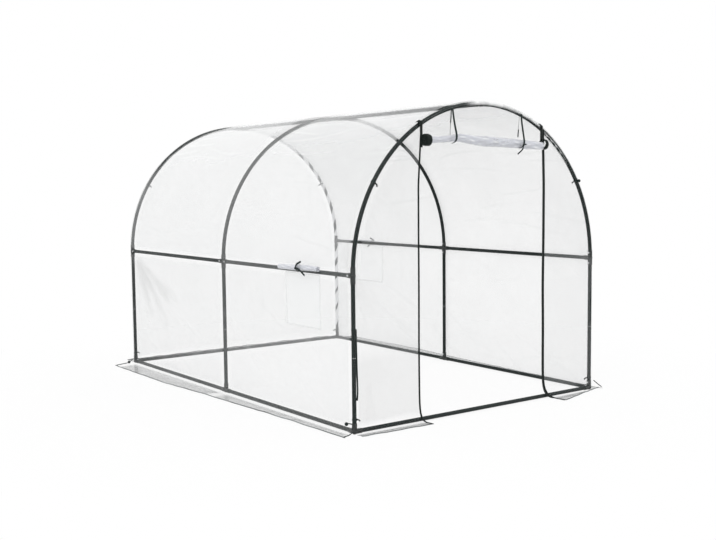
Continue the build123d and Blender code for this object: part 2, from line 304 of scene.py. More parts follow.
def woven(name, dark, light, pitch, roughness):
    """Woven tape: warp and weft as crossed waves, with a soft sheen."""
    nodes = new_nodes(name)
    wave = {"Vector": nodes.place(), "Scale": 1 / pitch / (2 * math.pi), "Distortion": 0.6, "Detail": 1.0}
    across, along, up = (nodes.add("TexWave", "Fac", wave, bands_direction=way) for way in "XYZ")
    weave = nodes.work("MULTIPLY", nodes.work("MAXIMUM", across, along), up)
    return nodes.finish({
        "Base Color": nodes.blend(weave, dark, light),
        "Roughness": roughness,
        "Sheen Weight": 0.04,
        "Specular IOR Level": 0.18,
        "Normal": nodes.bump(weave, 0.35, 0.0006),
    })


def hem_binding():
    """The narrow binding of the skirts, in patches of painted shade and painted light: dark where it lies
    on edge and pale where it lies flat.
    """
    nodes = new_nodes("hem_binding")
    painted_shading_patches = nodes.remap(nodes.noise(2.6, 2.0), 0.40, 0.60, 0, 1)
    return nodes.finish({
        "Base Color": nodes.blend(painted_shading_patches, (0.020, 0.030, 0.028), (0.20, 0.22, 0.22)),
        "Roughness": 0.7,
        "Normal": nodes.bump(nodes.noise(900.0, 2.0), 0.3, 0.0004),
    })


def thread():
    """Pale nylon thread of the window screens."""
    nodes = new_nodes("screen_thread")
    colour = nodes.blend(nodes.noise(80.0), (0.80, 0.82, 0.82), (0.90, 0.91, 0.91))
    return nodes.finish({"Base Color": colour, "Roughness": 0.5})


# Each pair of film colours: the film's own tone, and the white of its painted highlights and reflections
CLEAR = ((0.76, 0.768, 0.772), (0.97, 0.975, 0.975))
MILKY = ((0.925, 0.940, 0.992), (0.975, 0.980, 0.995))
TUBE_PAINT = coated_steel()
CONNECTOR_PLASTIC = moulded_plastic()
ZINC = zinc_steel()
COVER_FILM = film("cover_film", 0.155, 0.40, 0.90, CLEAR, 0.16)
ROLLED_FILM = film("rolled_film", 0.30, 0.50, 0.30, MILKY, 0.16)
HEM_FILM = film("hem_film", 0.03, 0.0, 0.03, CLEAR, 0.25)
ZIP_TAPE = woven("zip_tape", (0.003, 0.006, 0.005), (0.008, 0.014, 0.012), 0.0012, 0.75)
STRAP = woven("tie_strap", (0.005, 0.011, 0.010), (0.018, 0.030, 0.027), 0.0016, 0.7)
HEM_TAPE = hem_binding()
SCREEN_THREAD = thread()


# Meshes


def add_object(name, vertices, faces, material, smooth=True):
    """An object in the frame, riding on the one body."""
    mesh = bpy.data.meshes.new(name)
    mesh.from_pydata([tuple(v) for v in vertices], [], [tuple(f) for f in faces])
    mesh.polygons.foreach_set("use_smooth", [smooth] * len(mesh.polygons))
    mesh.materials.append(material)
    mesh.update()
    piece = bpy.data.objects.new(name, mesh)
    bpy.context.scene.collection.objects.link(piece)
    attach(piece, BODY)
    return piece


def unit(ways):
    """Directions of length 1."""
    return ways / np.linalg.norm(ways, axis=-1, keepdims=True)


def distances(line):
    """The distance of each point of a line from its start."""
    return np.concatenate([[0], np.cumsum(np.linalg.norm(np.diff(line, axis=0), axis=1))])


def tube_faces(rings, sides):
    """The faces of a tube of rings with its two ends."""
    faces = [
        (i * sides + j, i * sides + (j + 1) % sides, (i + 1) * sides + (j + 1) % sides, (i + 1) * sides + j)
        for i in range(rings - 1)
        for j in range(sides)
    ]
    return faces + [tuple(reversed(range(sides))), tuple((rings - 1) * sides + j for j in range(sides))]


class Joined:
    """Many small shapes gathered into one piece."""

    def __init__(self):
        self.vertices = []
        self.faces = []

    def add(self, vertices, faces):
        """Adds a shape."""
        first = len(self.vertices)
        self.vertices.extend(tuple(v) for v in vertices)
        self.faces.extend(tuple(first + i for i in face) for face in faces)

    def strap(self, line, across, width, thickness=STRAP_THICKNESS, section=STRAP_SECTION):
        """Adds a flat strap along a line. Across is its direction of width."""
        line = np.array(line, float)
        along = unit(np.gradient(line, axis=0))
        across = np.broadcast_to(np.array(across, float), line.shape)
        across = unit(across - (across * along).sum(1)[:, None] * along)
        up = np.cross(along, across)
        vertices = [
            line[i] + across[i] * u * width + up[i] * v * thickness
            for i in range(len(line))
            for u, v in section
        ]
        self.add(vertices, tube_faces(len(line), len(section)))

    def turned(self, centre, way, profile, count=14):
        """Adds a small turned shape. The profile is radius and height along the way."""
        way = Vector(way).normalized()
        first = way.orthogonal().normalized()
        second = way.cross(first)
        vertices = [
            Vector(centre) + way * height + radius * (math.cos(turn) * first + math.sin(turn) * second)
            for radius, height in profile
            for turn in (2 * math.pi * i / count for i in range(count))
        ]
        self.add(vertices, tube_faces(len(profile), count))

    def finish(self, name, material, slot, smooth=True):
        """The piece, in the frame."""
        return add_object(name, self.vertices, self.faces, material, smooth)


def grid_faces(rows, columns):
    """The faces of a grid of points, by rows."""
    corner = np.arange(rows * columns).reshape(rows, columns)
    return np.stack([corner[:-1, :-1], corner[:-1, 1:], corner[1:, 1:], corner[1:, :-1]], axis=-1)


def sharpen_border(mesh):
    """Keeps a sheet's shading even up to its free edges."""
    edges = np.empty(len(mesh.loops), np.int32)
    mesh.loops.foreach_get("edge_index", edges)
    free = np.bincount(edges, minlength=len(mesh.edges)) == 1
    mesh.attributes.new("sharp_edge", "BOOLEAN", "EDGE").data.foreach_set("value", free)


def add_sheet(name, points, fields, material, slot, keep=None):
    """A thin closed sheet over a grid of points, with the fields that its material reads at them."""
    faces = grid_faces(*points.shape[:2])
    faces = faces.reshape(-1, 4) if keep is None else faces[keep]
    used, faces = np.unique(faces, return_inverse=True)
    piece = add_object(name, points.reshape(-1, 3)[used], faces.reshape(-1, 4).tolist(), material)
    sharpen_border(piece.data)
    for field, values in fields.items():
        attribute = piece.data.attributes.new(field, "FLOAT", "POINT")
        attribute.data.foreach_set("value", np.clip(values.reshape(-1)[used], 0, 1).astype(np.float32))
    solidify = piece.modifiers.new("thickness", "SOLIDIFY")
    solidify.thickness = FILM_THICKNESS
    solidify.offset = 0
    return piece


def spaced(breaks, steps):
    """Grid lines through the breaks and their opposites, from 0 out, at most a step apart."""
    breaks = [-b for b in breaks[::-1]] + breaks[1:]
    steps = steps[::-1] + steps
    lines = [breaks[0]]
    for start, end, step in zip(breaks, breaks[1:], steps):
        count = max(1, math.ceil((end - start) / step - 1e-6))
        lines.extend(start + (end - start) * i / count for i in range(1, count + 1))
    return np.array(lines)


def smooth_line(points, per_span=8):
    """A smooth line through a few points."""
    points = np.array(points, float)
    padded = np.vstack([2 * points[0] - points[1], points, 2 * points[-1] - points[-2]])
    line = []
    for i in range(1, len(padded) - 2):
        a, b, c, d = padded[i - 1:i + 3]
        for share in np.arange(per_span) / per_span:
            bend = (2 * a - 5 * b + 4 * c - d) * share**2 + (3 * b - a - 3 * c + d) * share**3
            line.append(0.5 * (2 * b + (c - a) * share + bend))
    line.append(points[-1])
    return np.array(line)


def smooth_values(places, shares, values):
    """Values between given ones, without corners."""
    shifts = np.linspace(-0.08, 0.08, 9)
    return np.array([np.interp(places + shift, shares, values) for shift in shifts]).mean(0)


# Creases


def make_fold(draw, start, heading, length, width, height):
    """One fold on a flat sheet: where it starts, where it ends, how wide, high and bowed it is."""
    end = (start[0] + length * math.cos(heading), start[1] + length * math.sin(heading))
    return start, end, width, height, draw.uniform(-0.06, 0.06) * length


def scattered_folds(draw, count, across, along, heading, spread, sizes):
    """Folds scattered over a field of a sheet, with headings in degrees and ranges of sizes."""
    lengths, widths, heights = sizes
    folds = []
    for _ in range(count):
        angle = math.radians(heading + draw.uniform(-spread, spread))
        length = draw.uniform(*lengths)
        centre = (draw.uniform(*across), draw.uniform(*along))
        start = (centre[0] - length / 2 * math.cos(angle), centre[1] - length / 2 * math.sin(angle))
        folds.append(make_fold(draw, start, angle, length, draw.uniform(*widths), draw.uniform(*heights)))
    return folds


def fanned_folds(draw, count, apex, headings, gap, sizes):
    """Folds that fan out from a point, with headings in degrees and ranges of sizes."""
    folds = []
    for i in range(count):
        share = (i + draw.uniform(0.2, 0.8)) / count
        angle = math.radians(headings[0] + (headings[1] - headings[0]) * share)
        start = (apex[0] + gap * math.cos(angle), apex[1] + gap * math.sin(angle))
        folds.append(make_fold(draw, start, angle, *(draw.uniform(*limits) for limits in sizes)))
    return folds


def fold_heights(across, along, folds):
    """The height of all the folds over a sheet."""
    total = np.zeros_like(across)
    for start, end, width, height, bow in folds:
        run = (end[0] - start[0], end[1] - start[1])
        length = math.hypot(*run)
        share = ((across - start[0]) * run[0] + (along - start[1]) * run[1]) / length**2
        inside = np.clip(4 * share * (1 - share), 0, 1)
        aside = ((across - start[0]) * run[1] - (along - start[1]) * run[0]) / length - bow * inside
        total += height * np.sqrt(inside) * np.exp(-((aside / width) ** 2))
    return total


def billow(draw, across, along, waves, reach):
    """A slow unevenness of a sheet, from -1 to 1."""
    total = np.zeros_like(across)
    for _ in range(waves):
        angle = draw.uniform(0, math.pi)
        pace = 2 * math.pi / draw.uniform(*reach)
        run = across * math.cos(angle) + along * math.sin(angle)
        total += np.sin(pace * run + draw.uniform(0, 2 * math.pi))
    return total / waves


def between(value, supports):
    """0 at the supports and 1 half way between them."""
    weight = np.zeros_like(value)
    for low, high in zip(supports, supports[1:]):
        share = (value - low) / (high - low)
        weight += np.where((share > 0) & (share < 1), np.sin(np.pi * share) ** 2, 0)
    return weight


def nearness(value, place, reach):
    """1 close to a place, falling to 0 at a reach from it."""
    return np.clip(1.7 * (1 - np.abs(value - place) / reach), 0, 1)


def ramp(value, start, end):
    """0 before a start, 1 past an end."""
    return np.clip((value - start) / (end - start), 0, 1)


CREASE_FULL = 0.008  # the height at which a crease's painted highlight is at its whitest
FOLD_HIGHLIGHT = 0.16  # the most that a fold of the tunnel sheet is whitened as a painted highlight
HOLLOW_FULL = 0.0045  # the depth at which a hollow's painted shade is at its darkest
# Painted shade in the hollows of the folds, and on the skirts where they lie on the ground
HOLLOW_SHADE = 0.5
GROUND_SHADE = 0.7

# On the front hoop the film is painted white, with a dappled painted glint, from the crown to the right. A
# pair of rows gives places across, and shares.
TUNNEL_GLINT = ((-0.16, -0.06, 0.44, 0.52), (0.0, 1.0, 1.0, 0.0))
GLINT_BAND = 0.02
TUNNEL_GLINT_LOOK = (0.55, 0.9)  # how strong its painted crease highlight and its dappled painted glint are
PANEL_GLINT_LOOK = (0.7, 0.8)
# Where the front films are painted white as a painted glint: over the door, and in a band under the hoop
# right of the door
OVER_DOOR = ((-0.16, -0.06, 0.46, 0.52), (0.0, 0.75, 0.75, 0.0))
OVER_DOOR_REACH = 0.016
UNDER_HOOP = ((0.48, 0.54, 0.68, 0.74), (0.0, 0.70, 0.70, 0.0))
UNDER_HOOP_BAND = (0.027, 0.019)  # depth and reach

# Where the film lies on a tube it is clear. The shares are of the haze that is gone there. A pair of rows
# gives girths from the crown, and the shares, reaches or shifts at them.
CLEAR_REACH = 0.09
CLEAR_SHIFT = -0.03  # of the clear film towards the door, where it is drawn against the hoops
HOOP_REACHES = ((-0.75, -0.25), (0.8 * CLEAR_REACH, 3.4 * CLEAR_REACH))
FRONT_HOOP_CLEAR = 0.97
FRONT_HOOP_SHIFT = -0.012
FRONT_HOOP_REACHES = ((-0.6, -0.4), (0.04, 0.03))
FRONT_HOOP_SIDE = ((0.2, 0.5), (1.0, 0.0))
FRONT_ARCH_REACH = 0.075
FRONT_LEG_CLEAR = (0.97, 0.74)  # left and right
FRONT_LEG_REACH = (0.03, 0.08)
MIDDLE_HOOP_CLEAR = ((-1.70, -1.35, -1.00, -0.60, 0.2, 0.5), (0.70, 0.56, 0.56, 0.72, 0.72, 0.0))
REAR_HOOP_CLEAR = ((-1.75, -1.50, -1.10, -0.80, -0.05, 0.05), (0.93, 0.60, 0.55, 0.95, 0.95, 0.0))
REAR_HOOP_SHIFTS = ((-0.40, -0.12), (CLEAR_SHIFT, 6 * CLEAR_SHIFT))
FRONT_RAIL_CLEAR = 0.93
FRONT_RAIL_REACH = 0.06
RIDGE_CLEAR = (0.74, 0.30)  # at the front and at the rear
RIDGE_BAND = (-0.33, 0.11)  # girth and reach of the ridge as it is seen through the film
SIDE_RAIL_CLEAR = (0.70, 0.97)  # in the front and the rear bay
BASE_RAIL_CLEAR = 0.70
TAUT_LINE = (0.02, 0.1855)  # height at the rear hoop, and slope
TAUT_CLEAR = (0.20, 0.40, 0.85)  # at the front, middle and rear hoop
TAUT_REACH = 0.05
PANEL_CLEAR = 0.55
DOOR_TOP_CLEAR = 0.95
PANEL_SHADE = 0.14
# Painted shade and extra haze at the foot of the left panel, darkening the ground seen through it
FOOT_SHADE = 0.60  # at the foot of the left panel
FOOT_CLEAR = 0.20
FOOT_SHADE_HEIGHTS = (0.52, 0.40)


# The tunnel sheet: skirt, wall, roof, wall and skirt in one piece

ROOF_HALF = FILM_RADIUS * math.pi / 2
WALL_RUN = SPRING - WALL_BEND
BEND_RUN = WALL_BEND * math.pi / 2
WALL_END = ROOF_HALF + WALL_RUN
BEND_END = WALL_END + BEND_RUN
SIDE_SKIRT = size("side_skirts").x / 2 - FILM_RADIUS - WALL_BEND
GIRTH_HALF = BEND_END + SIDE_SKIRT
CORNER_RUN = FILM_OFFSET * math.pi / 2
LENGTH_HALF = HALF_LENGTH + CORNER_RUN
WINDOW_GIRTHS = (ROOF_HALF + SPRING - WINDOW_TOP, ROOF_HALF + SPRING - WINDOW_BOTTOM)
END_BAND = HALF_LENGTH - 0.12  # past it the grid is finer
GIRTH_STEPS = [0.0112, 0.0112, 0.0112, 0.0112, 0.005, 0.018]
LENGTH_STEPS = [0.030, 0.042, 0.042, 0.015, 0.006]

# Its folds: ranges of length, width and height
ROOF_FOLDS = ((0.2, 0.85), (0.009, 0.014), (0.0005, 0.0013))
ROOF_FOLD_COUNTS = {"left": (26, 15), "right": (12, 8)}  # in the front and the rear bay
WALL_FOLDS = ((0.2, 0.6), (0.012, 0.018), (0.0004, 0.0008))
SLANTED_FOLDS = ((0.4, 0.9), (0.012, 0.018), (0.0005, 0.001))
SLANT = 28  # degrees
FAN_RIDGES = ((0.35, 0.85), (0.014, 0.022), (0.0012, 0.0018))
FAN_HOLLOWS = ((0.35, 0.85), (0.028, 0.042), (-0.0045, -0.0025))
FAN_HEADINGS = {"left": (205, 250), "right": (335, 290)}
FAN_CORNER = (ROOF_HALF + 0.02, HALF_LENGTH - 0.03)
FAN_GAP = 0.08
HOOP_FOLDS = ((0.05, 0.16), (0.010, 0.014), (0.0003, 0.0006))
HOOP_FOLD_BAND = (0.05, 0.14)  # from a hoop
HOOP_FOLD_GIRTHS = (-2.3, 2.3)
FOLD_MARGIN = 0.1  # of the other folds from the hoops
# Girths of the fields in which folds are scattered over the roof, the walls and the feet of the walls
FOLD_FIELDS = ((0.12, 1.5), (ROOF_HALF + 0.05, WALL_END - 0.05), (WALL_END - 0.45, WALL_END))
BILLOW_LENGTHS = (0.5, 1.3)
UNEVEN_SHARE = 0.6  # of the sag
RIPPLE_LENGTHS = (0.16, 0.4)
RIPPLE_HEIGHT = 0.004
SKIRT_FOOT = 0.05  # of a skirt, over which it comes to lie on the ground


def tunnel_section(girth):
    """Points x, z across the tunnel and outward directions, by the distance from the crown."""
    side = np.where(girth < 0, -1.0, 1.0)
    run = np.abs(girth)
    roof = np.clip(run, 0, ROOF_HALF) / FILM_RADIUS
    bend = np.clip((run - WALL_END) / WALL_BEND, 0, math.pi / 2)
    skirt = np.clip(run - BEND_END, 0, None)
    wall = np.clip(run - ROOF_HALF, 0, WALL_RUN)
    out = FILM_RADIUS * np.sin(roof) + WALL_BEND * (1 - np.cos(bend))
    high = SPRING + FILM_RADIUS * np.cos(roof) - wall - WALL_BEND * np.sin(bend)
    on_roof = run <= ROOF_HALF
    normal_out = np.where(on_roof, np.sin(roof), np.cos(bend))
    normal_up = np.where(on_roof, np.cos(roof), np.sin(bend))
    return side, out, high, skirt, normal_out, normal_up


def bay_ways(hoop_y):
    """The ways along the tunnel in which a hoop has a bay."""
    return [way for way in (-1, 1) if abs(hoop_y + way * FOLD_MARGIN) < HALF_LENGTH]


def tunnel_folds(draw):
    """The creases of the tunnel sheet: across is the girth from the crown, along is Y."""
    folds = []
    for side, sign in SIDES.items():
        roof, wall, low_wall = (sorted(sign * girth for girth in field) for field in FOLD_FIELDS)
        for start, end, count in zip(HOOP_PLACES, HOOP_PLACES[1:], ROOF_FOLD_COUNTS[side]):
            run = (start + FOLD_MARGIN, end - FOLD_MARGIN)
            folds += scattered_folds(draw, count, roof, run, 90, 9, ROOF_FOLDS)
            folds += scattered_folds(draw, 5, wall, run, 90, 35, WALL_FOLDS)
            folds += scattered_folds(draw, 4, low_wall, run, 90 + sign * SLANT, 9, SLANTED_FOLDS)
        corner = (sign * FAN_CORNER[0], FAN_CORNER[1])
        for sizes in (FAN_RIDGES, FAN_HOLLOWS):
            folds += fanned_folds(draw, 7, corner, FAN_HEADINGS[side], FAN_GAP, sizes)
        for hoop_y in HOOP_PLACES:
            for way in bay_ways(hoop_y):
                band = [hoop_y + way * place for place in HOOP_FOLD_BAND]
                folds += scattered_folds(draw, 4, HOOP_FOLD_GIRTHS, band, 90, 24, HOOP_FOLDS)
    return folds


def turn_in(length, high, skirt):
    """Where the sheet's points lie along the tunnel, and how far they are drawn in around the end hoops.

    On the ground the sheet runs straight on.
    """
    reach = np.abs(length)
    end = np.sign(length)
    past = np.clip(reach - HALF_LENGTH, 0, None) / FILM_OFFSET
    standing = ramp(high, STANDING_HEIGHT, STANDING_HEIGHT + WALL_BEND)
    around = HALF_LENGTH + FILM_OFFSET * np.sin(past)
    straight = HALF_LENGTH + FILM_OFFSET * past / (math.pi / 2)
    turned_in = end * (around * standing + straight * (1 - standing))
    along = np.where(reach > HALF_LENGTH, turned_in, length)
    run_on = np.where(end < 0, *SKIRT_RUNS) * skirt / SIDE_SKIRT
    along = along + end * run_on * ramp(reach, HALF_LENGTH - SKIRT_RUN_LENGTH, HALF_LENGTH) ** 2
    return along, FILM_OFFSET * (1 - np.cos(past)) * standing


def outside_windows(girths, lengths):
    """Which faces of the tunnel's grid lie outside its two window openings."""
    girth = (girths[:-1] + girths[1:]) / 2
    length = (lengths[:-1] + lengths[1:]) / 2
    keep = np.ones((len(girth), len(length)), bool)
    for sign in SIDES.values():
        rows = (sign * girth > WINDOW_GIRTHS[0]) & (sign * girth < WINDOW_GIRTHS[1])
        columns = (sign * length > WINDOW_EDGES[0]) & (sign * length < WINDOW_EDGES[1])
        keep &= ~(rows[:, None] & columns[None, :])
    return keep


def tunnel_clear(girth, length, glint):
    """Where the tunnel sheet is clear: on the tubes that it lies on, and where its wall is taut.

    On the front hoop, from the crown to the door, it is painted white as a painted glint instead of clear.
    The wall is drawn taut along a line from the rear foot up to the front.
    """
    front = nearness(length, -HALF_LENGTH + FRONT_HOOP_SHIFT, np.interp(girth, *FRONT_HOOP_REACHES))
    front_side = np.maximum(np.interp(girth, *FRONT_HOOP_SIDE), length < -HALF_LENGTH)
    hoop_reach = np.interp(girth, *HOOP_REACHES)
    rear_place = HALF_LENGTH + np.interp(girth, *REAR_HOOP_SHIFTS)
    ridge_share = RIDGE_CLEAR[0] + (RIDGE_CLEAR[1] - RIDGE_CLEAR[0]) * (length / HALF_LENGTH + 1) / 2
    taut_height = TAUT_LINE[0] + TAUT_LINE[1] * (HALF_LENGTH - length)
    taut = nearness(SPRING + ROOF_HALF + girth, taut_height, TAUT_REACH) * (girth < -ROOF_HALF)
    return np.max([
        FRONT_HOOP_CLEAR * front * front_side * (1 - glint),
        np.interp(girth, *MIDDLE_HOOP_CLEAR) * nearness(length, CLEAR_SHIFT, hoop_reach),
        np.interp(girth, *REAR_HOOP_CLEAR) * nearness(length, rear_place, 1.1 * hoop_reach),
        np.interp(length, HOOP_PLACES, TAUT_CLEAR) * taut,
        ridge_share * nearness(girth, *RIDGE_BAND),
        np.where(length < 0, *SIDE_RAIL_CLEAR) * nearness(girth, -ROOF_HALF, CLEAR_REACH / 2),
        BASE_RAIL_CLEAR * nearness(girth, -WALL_END, CLEAR_REACH / 2),
    ], axis=0)


def make_tunnel():
    """The film over the hoops with its two long skirts and its two window openings."""
    draw = random.Random(11)
    girths = spaced([0, ROOF_HALF, *WINDOW_GIRTHS, WALL_END, BEND_END, GIRTH_HALF], GIRTH_STEPS)
    lengths = spaced([0, *WINDOW_EDGES, END_BAND, HALF_LENGTH, LENGTH_HALF], LENGTH_STEPS)
    girth, length = np.meshgrid(girths, lengths, indexing="ij")
    side, out, high, skirt, normal_out, normal_up = tunnel_section(girth)
    along, inward = turn_in(length, high, skirt)
    spread = np.interp(along / HALF_LENGTH, SKIRT_PLACES, SKIRT_WIDTHS) - WALL_BEND
    out = out + skirt * spread / SIDE_SKIRT

    supports = (-WALL_END, -ROOF_HALF, 0.0, ROOF_HALF, WALL_END)
    slack = between(girth, supports) * between(length, HOOP_PLACES)
    folds = fold_heights(girth, length, tunnel_folds(draw))
    uneven = UNEVEN_SHARE * billow(draw, girth, length, 5, BILLOW_LENGTHS)
    on_ground = ramp(skirt, 0, SKIRT_FOOT)
    ripple = RIPPLE_HEIGHT * np.abs(billow(draw, girth * 0.6, length, 4, RIPPLE_LENGTHS))
    lift = -SAG * slack * (1 + uneven) + folds * (1 - on_ground) + ripple * on_ground - inward
    x = side * (out + lift * normal_out)
    z = np.maximum(high + lift * normal_up, 0) + FILM_LIFT
    points = np.stack([x, along, z], axis=-1)

    # Painted glint on the turned-in film at the front hoop, from the crown to the door
    glint = np.interp(girth, *TUNNEL_GLINT) * ramp(length, GLINT_BAND - HALF_LENGTH, -HALF_LENGTH)
    fields = {
        "crease_highlight": np.maximum(np.minimum(folds / CREASE_FULL, FOLD_HIGHLIGHT), TUNNEL_GLINT_LOOK[0] * glint),
        "dappled_glint": TUNNEL_GLINT_LOOK[1] * glint,
        "clear": tunnel_clear(girth, length, glint),
        "shade": np.maximum(GROUND_SHADE * on_ground, HOLLOW_SHADE * ramp(folds, 0, -HOLLOW_FULL)),
    }
    keep = outside_windows(girths, lengths)
    piece = add_sheet("tunnel_film", points, fields, COVER_FILM, "clear_film", keep)
    roof_nodes = [f"roof_film_{i}" for i in range(1, 7)]
    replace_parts(piece, "left_wall_film", "right_wall_film", "side_skirts", *roof_nodes)
    return {"left": points[0], "right": points[-1]}


# End films

EDGE_RADIUS = HALF_WIDTH + 0.003  # where the end films meet the tunnel sheet on the end hoops
TOP_DROPS = (0.0, 0.004, 0.008, 0.012, 0.017, 0.024, 0.034, 0.048)  # of an end film's rows on the hoop
BEND_SHARE = 0.4  # of the skirt share, at the end of the bend
COLUMN_TURN = 0.020  # between columns, as an angle of the hoop
UPRIGHT_FOLDS = ((0.3, 0.9), (0.014, 0.022), (0.0003, 0.0008))
LEANING_FOLDS = ((0.15, 0.5), (0.014, 0.022), (0.0003, 0.0007))
HEM_FOLDS = 30  # along the hoop
HEM_FOLD_DEPTHS = (0.02, 0.05)  # from the hoop
PANEL_ROWS = (58, 8, 6)  # of the grid, on the wall, in the bend and on the skirt
DOOR_TOP_ROWS = (12, 0, 0)
SLACK_TOP = SPRING + 0.5
SLACK_FADE = 0.1  # under the hoop
FOLD_FADE = 0.03
DOOR_EDGE_SLACK = ((DOOR_HALF, DOOR_HALF + 0.15), (0.35, 1.0))  # places across, and shares of the sag
PANEL_RIPPLE_LENGTHS = (0.15, 0.4)
PANEL_RIPPLE_HEIGHT = 0.008
PANEL_BILLOW_LENGTHS = (0.4, 1.0)
# Skirt shares between which the film stops being clear, and grows dark on the ground
SKIRT_CLEAR_FADE = (0.35, 0.20)
SKIRT_SHADE = ((0.1, 0.27), (0.0, 0.85))


def arch_top(x):
    """The height of the hoop's edge over a place across it."""
    return SPRING + math.sqrt(max(EDGE_RADIUS**2 - x**2, 0))


def end_column(x, bottom, top, skirt, bend, kick, swing, rows):
    """One line of an end film, from its top down and out: x, distance out, height and skirt share."""
    wall_rows, bend_rows, skirt_rows = rows
    lowest = bend or bottom
    start = top - TOP_DROPS[-1]
    line = [(0.0, top - drop, 0.0) for drop in TOP_DROPS]
    line += [(0.0, start + (lowest - start) * i / wall_rows, 0.0) for i in range(1, wall_rows + 1)]
    for i in range(1, bend_rows + 1):
        turn = math.pi / 2 * i / bend_rows
        line.append((bend * (1 - math.cos(turn)), bend * (1 - math.sin(turn)), BEND_SHARE * i / bend_rows))
    for i in range(1, skirt_rows + 1):
        share = i / skirt_rows
        line.append((bend + (skirt - bend) * share, 0.0, BEND_SHARE + (1 - BEND_SHARE) * share))
    swing /= 1 - BEND_SHARE
    return [
        (x + kick * math.exp(-z / KICK_HEIGHT) + swing * max(0, share - BEND_SHARE), out, z, share)
        for out, z, share in line
    ]


def end_folds(draw, left, right, bottom):
    """The creases of an end film: across is x, along is z."""
    across = (left, right)
    width = right - left
    folds = scattered_folds(draw, round(6 * width), across, (bottom, 1.5), 90, 10, UPRIGHT_FOLDS)
    folds += scattered_folds(draw, round(5 * width), across, (bottom, 1.2), 60, 40, LEANING_FOLDS)
    for _ in range(HEM_FOLDS):
        angle = math.radians(draw.uniform(2, 178))
        radius = EDGE_RADIUS - draw.uniform(*HEM_FOLD_DEPTHS)
        start = (radius * math.cos(angle), SPRING + radius * math.sin(angle))
        heading = angle + math.pi + math.radians(draw.uniform(-25, 25))
        length = draw.uniform(0.05, 0.15)
        folds.append(make_fold(draw, start, heading, length, 0.012, draw.uniform(0.0005, 0.0012)))
    return folds


def end_fields(x, z, top, on_ground, folds, outward, has_skirt):
    """What an end film's material reads: it is clear on the tubes, and hazier and darker, as painted shade,
    at the foot of the left panel.

    On the front hoop it is painted white, with a dappled painted glint, from the crown to the right.
    """
    depth = EDGE_RADIUS - np.hypot(x, z - SPRING)
    on_arch = nearness(depth, 0, FRONT_ARCH_REACH) * (z > SPRING)
    on_leg = nearness(np.abs(x), EDGE_RADIUS, np.where(x < 0, *FRONT_LEG_REACH)) * (z < SPRING)
    painted_glint = np.zeros_like(x)
    tone_mask = np.zeros_like(x)
    if outward < 0:
        # Painted glint over the door and under the hoop right of the door
        over_door = np.interp(x, *OVER_DOOR) * nearness(z, top, OVER_DOOR_REACH)
        under_hoop = np.interp(x, *UNDER_HOOP) * nearness(depth, *UNDER_HOOP_BAND) * (z > SPRING)
        painted_glint = np.maximum(over_door, under_hoop)
        # Painted shade and extra haze at the foot of the left panel
        tone_mask = ramp(z, *FOOT_SHADE_HEIGHTS) * (x < 0)
    panel_clear = PANEL_CLEAR if has_skirt else DOOR_TOP_CLEAR
    clear = np.max([
        panel_clear + (FOOT_CLEAR - panel_clear) * tone_mask,
        FRONT_HOOP_CLEAR * on_arch * (1 - painted_glint),
        np.where(x < 0, *FRONT_LEG_CLEAR) * on_leg,
        FRONT_RAIL_CLEAR * nearness(z, BASE_AXIS, FRONT_RAIL_REACH),
    ], axis=0) * ramp(on_ground, *SKIRT_CLEAR_FADE)
    shade = np.interp(on_ground, *SKIRT_SHADE)
    if outward < 0 and has_skirt:
        shade = np.maximum(shade, PANEL_SHADE + (FOOT_SHADE - PANEL_SHADE) * tone_mask)
    return {
        "crease_highlight": np.maximum(folds / CREASE_FULL, PANEL_GLINT_LOOK[0] * painted_glint),
        "dappled_glint": PANEL_GLINT_LOOK[1] * painted_glint,
        "clear": clear * (1 - painted_glint),
        "shade": shade * (1 - painted_glint),
    }


def make_end_film(name, seed, span, bottom, outward, skirts, nodes):
    """An end film: columns across it, hung from the hoop, with a skirt where it reaches the ground."""
    draw = random.Random(seed)
    low, high = (math.asin(max(-1, min(1, x / EDGE_RADIUS))) for x in span)
    columns = max(24, round((high - low) / COLUMN_TURN))
    rows = PANEL_ROWS if skirts else DOOR_TOP_ROWS
    grid = []
    for i in range(columns + 1):
        x = EDGE_RADIUS * math.sin(low + (high - low) * i / columns)
        shape = skirts(x) if skirts else (0, 0, 0, 0)
        grid.append(end_column(x, bottom, arch_top(x), *shape, rows))
    grid = np.array(grid)
    x, out, z, on_ground = (grid[..., i] for i in range(4))
    top = np.array([[arch_top(value)] for value in grid[:, 0, 0]])
    slack = between(z, (bottom, SLACK_TOP)) * ramp(top - z, 0, SLACK_FADE)
    if outward < 0 and skirts:
        slack = slack * np.interp(np.abs(x), *DOOR_EDGE_SLACK)
    folds = fold_heights(x, z, end_folds(draw, *span, bottom))
    folds = folds * ramp(top - z, 0, FOLD_FADE) * (on_ground == 0)
    ripple = PANEL_RIPPLE_HEIGHT * np.abs(billow(draw, x, out * 0.5, 4, PANEL_RIPPLE_LENGTHS))
    ripple = ripple * ramp(on_ground, BEND_SHARE, 2 * BEND_SHARE)
    lift = folds - PANEL_SAG * slack * (1 + billow(draw, x, z, 4, PANEL_BILLOW_LENGTHS))
    points = np.stack([x, outward * (END_PLANE + out + lift), z + ripple + FILM_LIFT], axis=-1)
    fields = end_fields(x, z, top, on_ground, folds, outward, bool(skirts))
    piece = add_sheet(name, points, fields, COVER_FILM, "clear_film")
    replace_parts(piece, *nodes)
    return points


def front_skirt(side):
    """The skirt's width, bend, kick and swing along one front panel."""
    corner, door = FRONT_SKIRTS[side].values()

    def values(x):
        share = (EDGE_RADIUS - abs(x)) / (EDGE_RADIUS - DOOR_HALF)
        return tuple(a + (b - a) * share for a, b in zip(corner, door))

    return values


def rear_skirt(x):
    """The rear skirt's width, bend, kick and swing, the same all along it."""
    return REAR_SKIRT, WALL_BEND, 0.0, 0.0


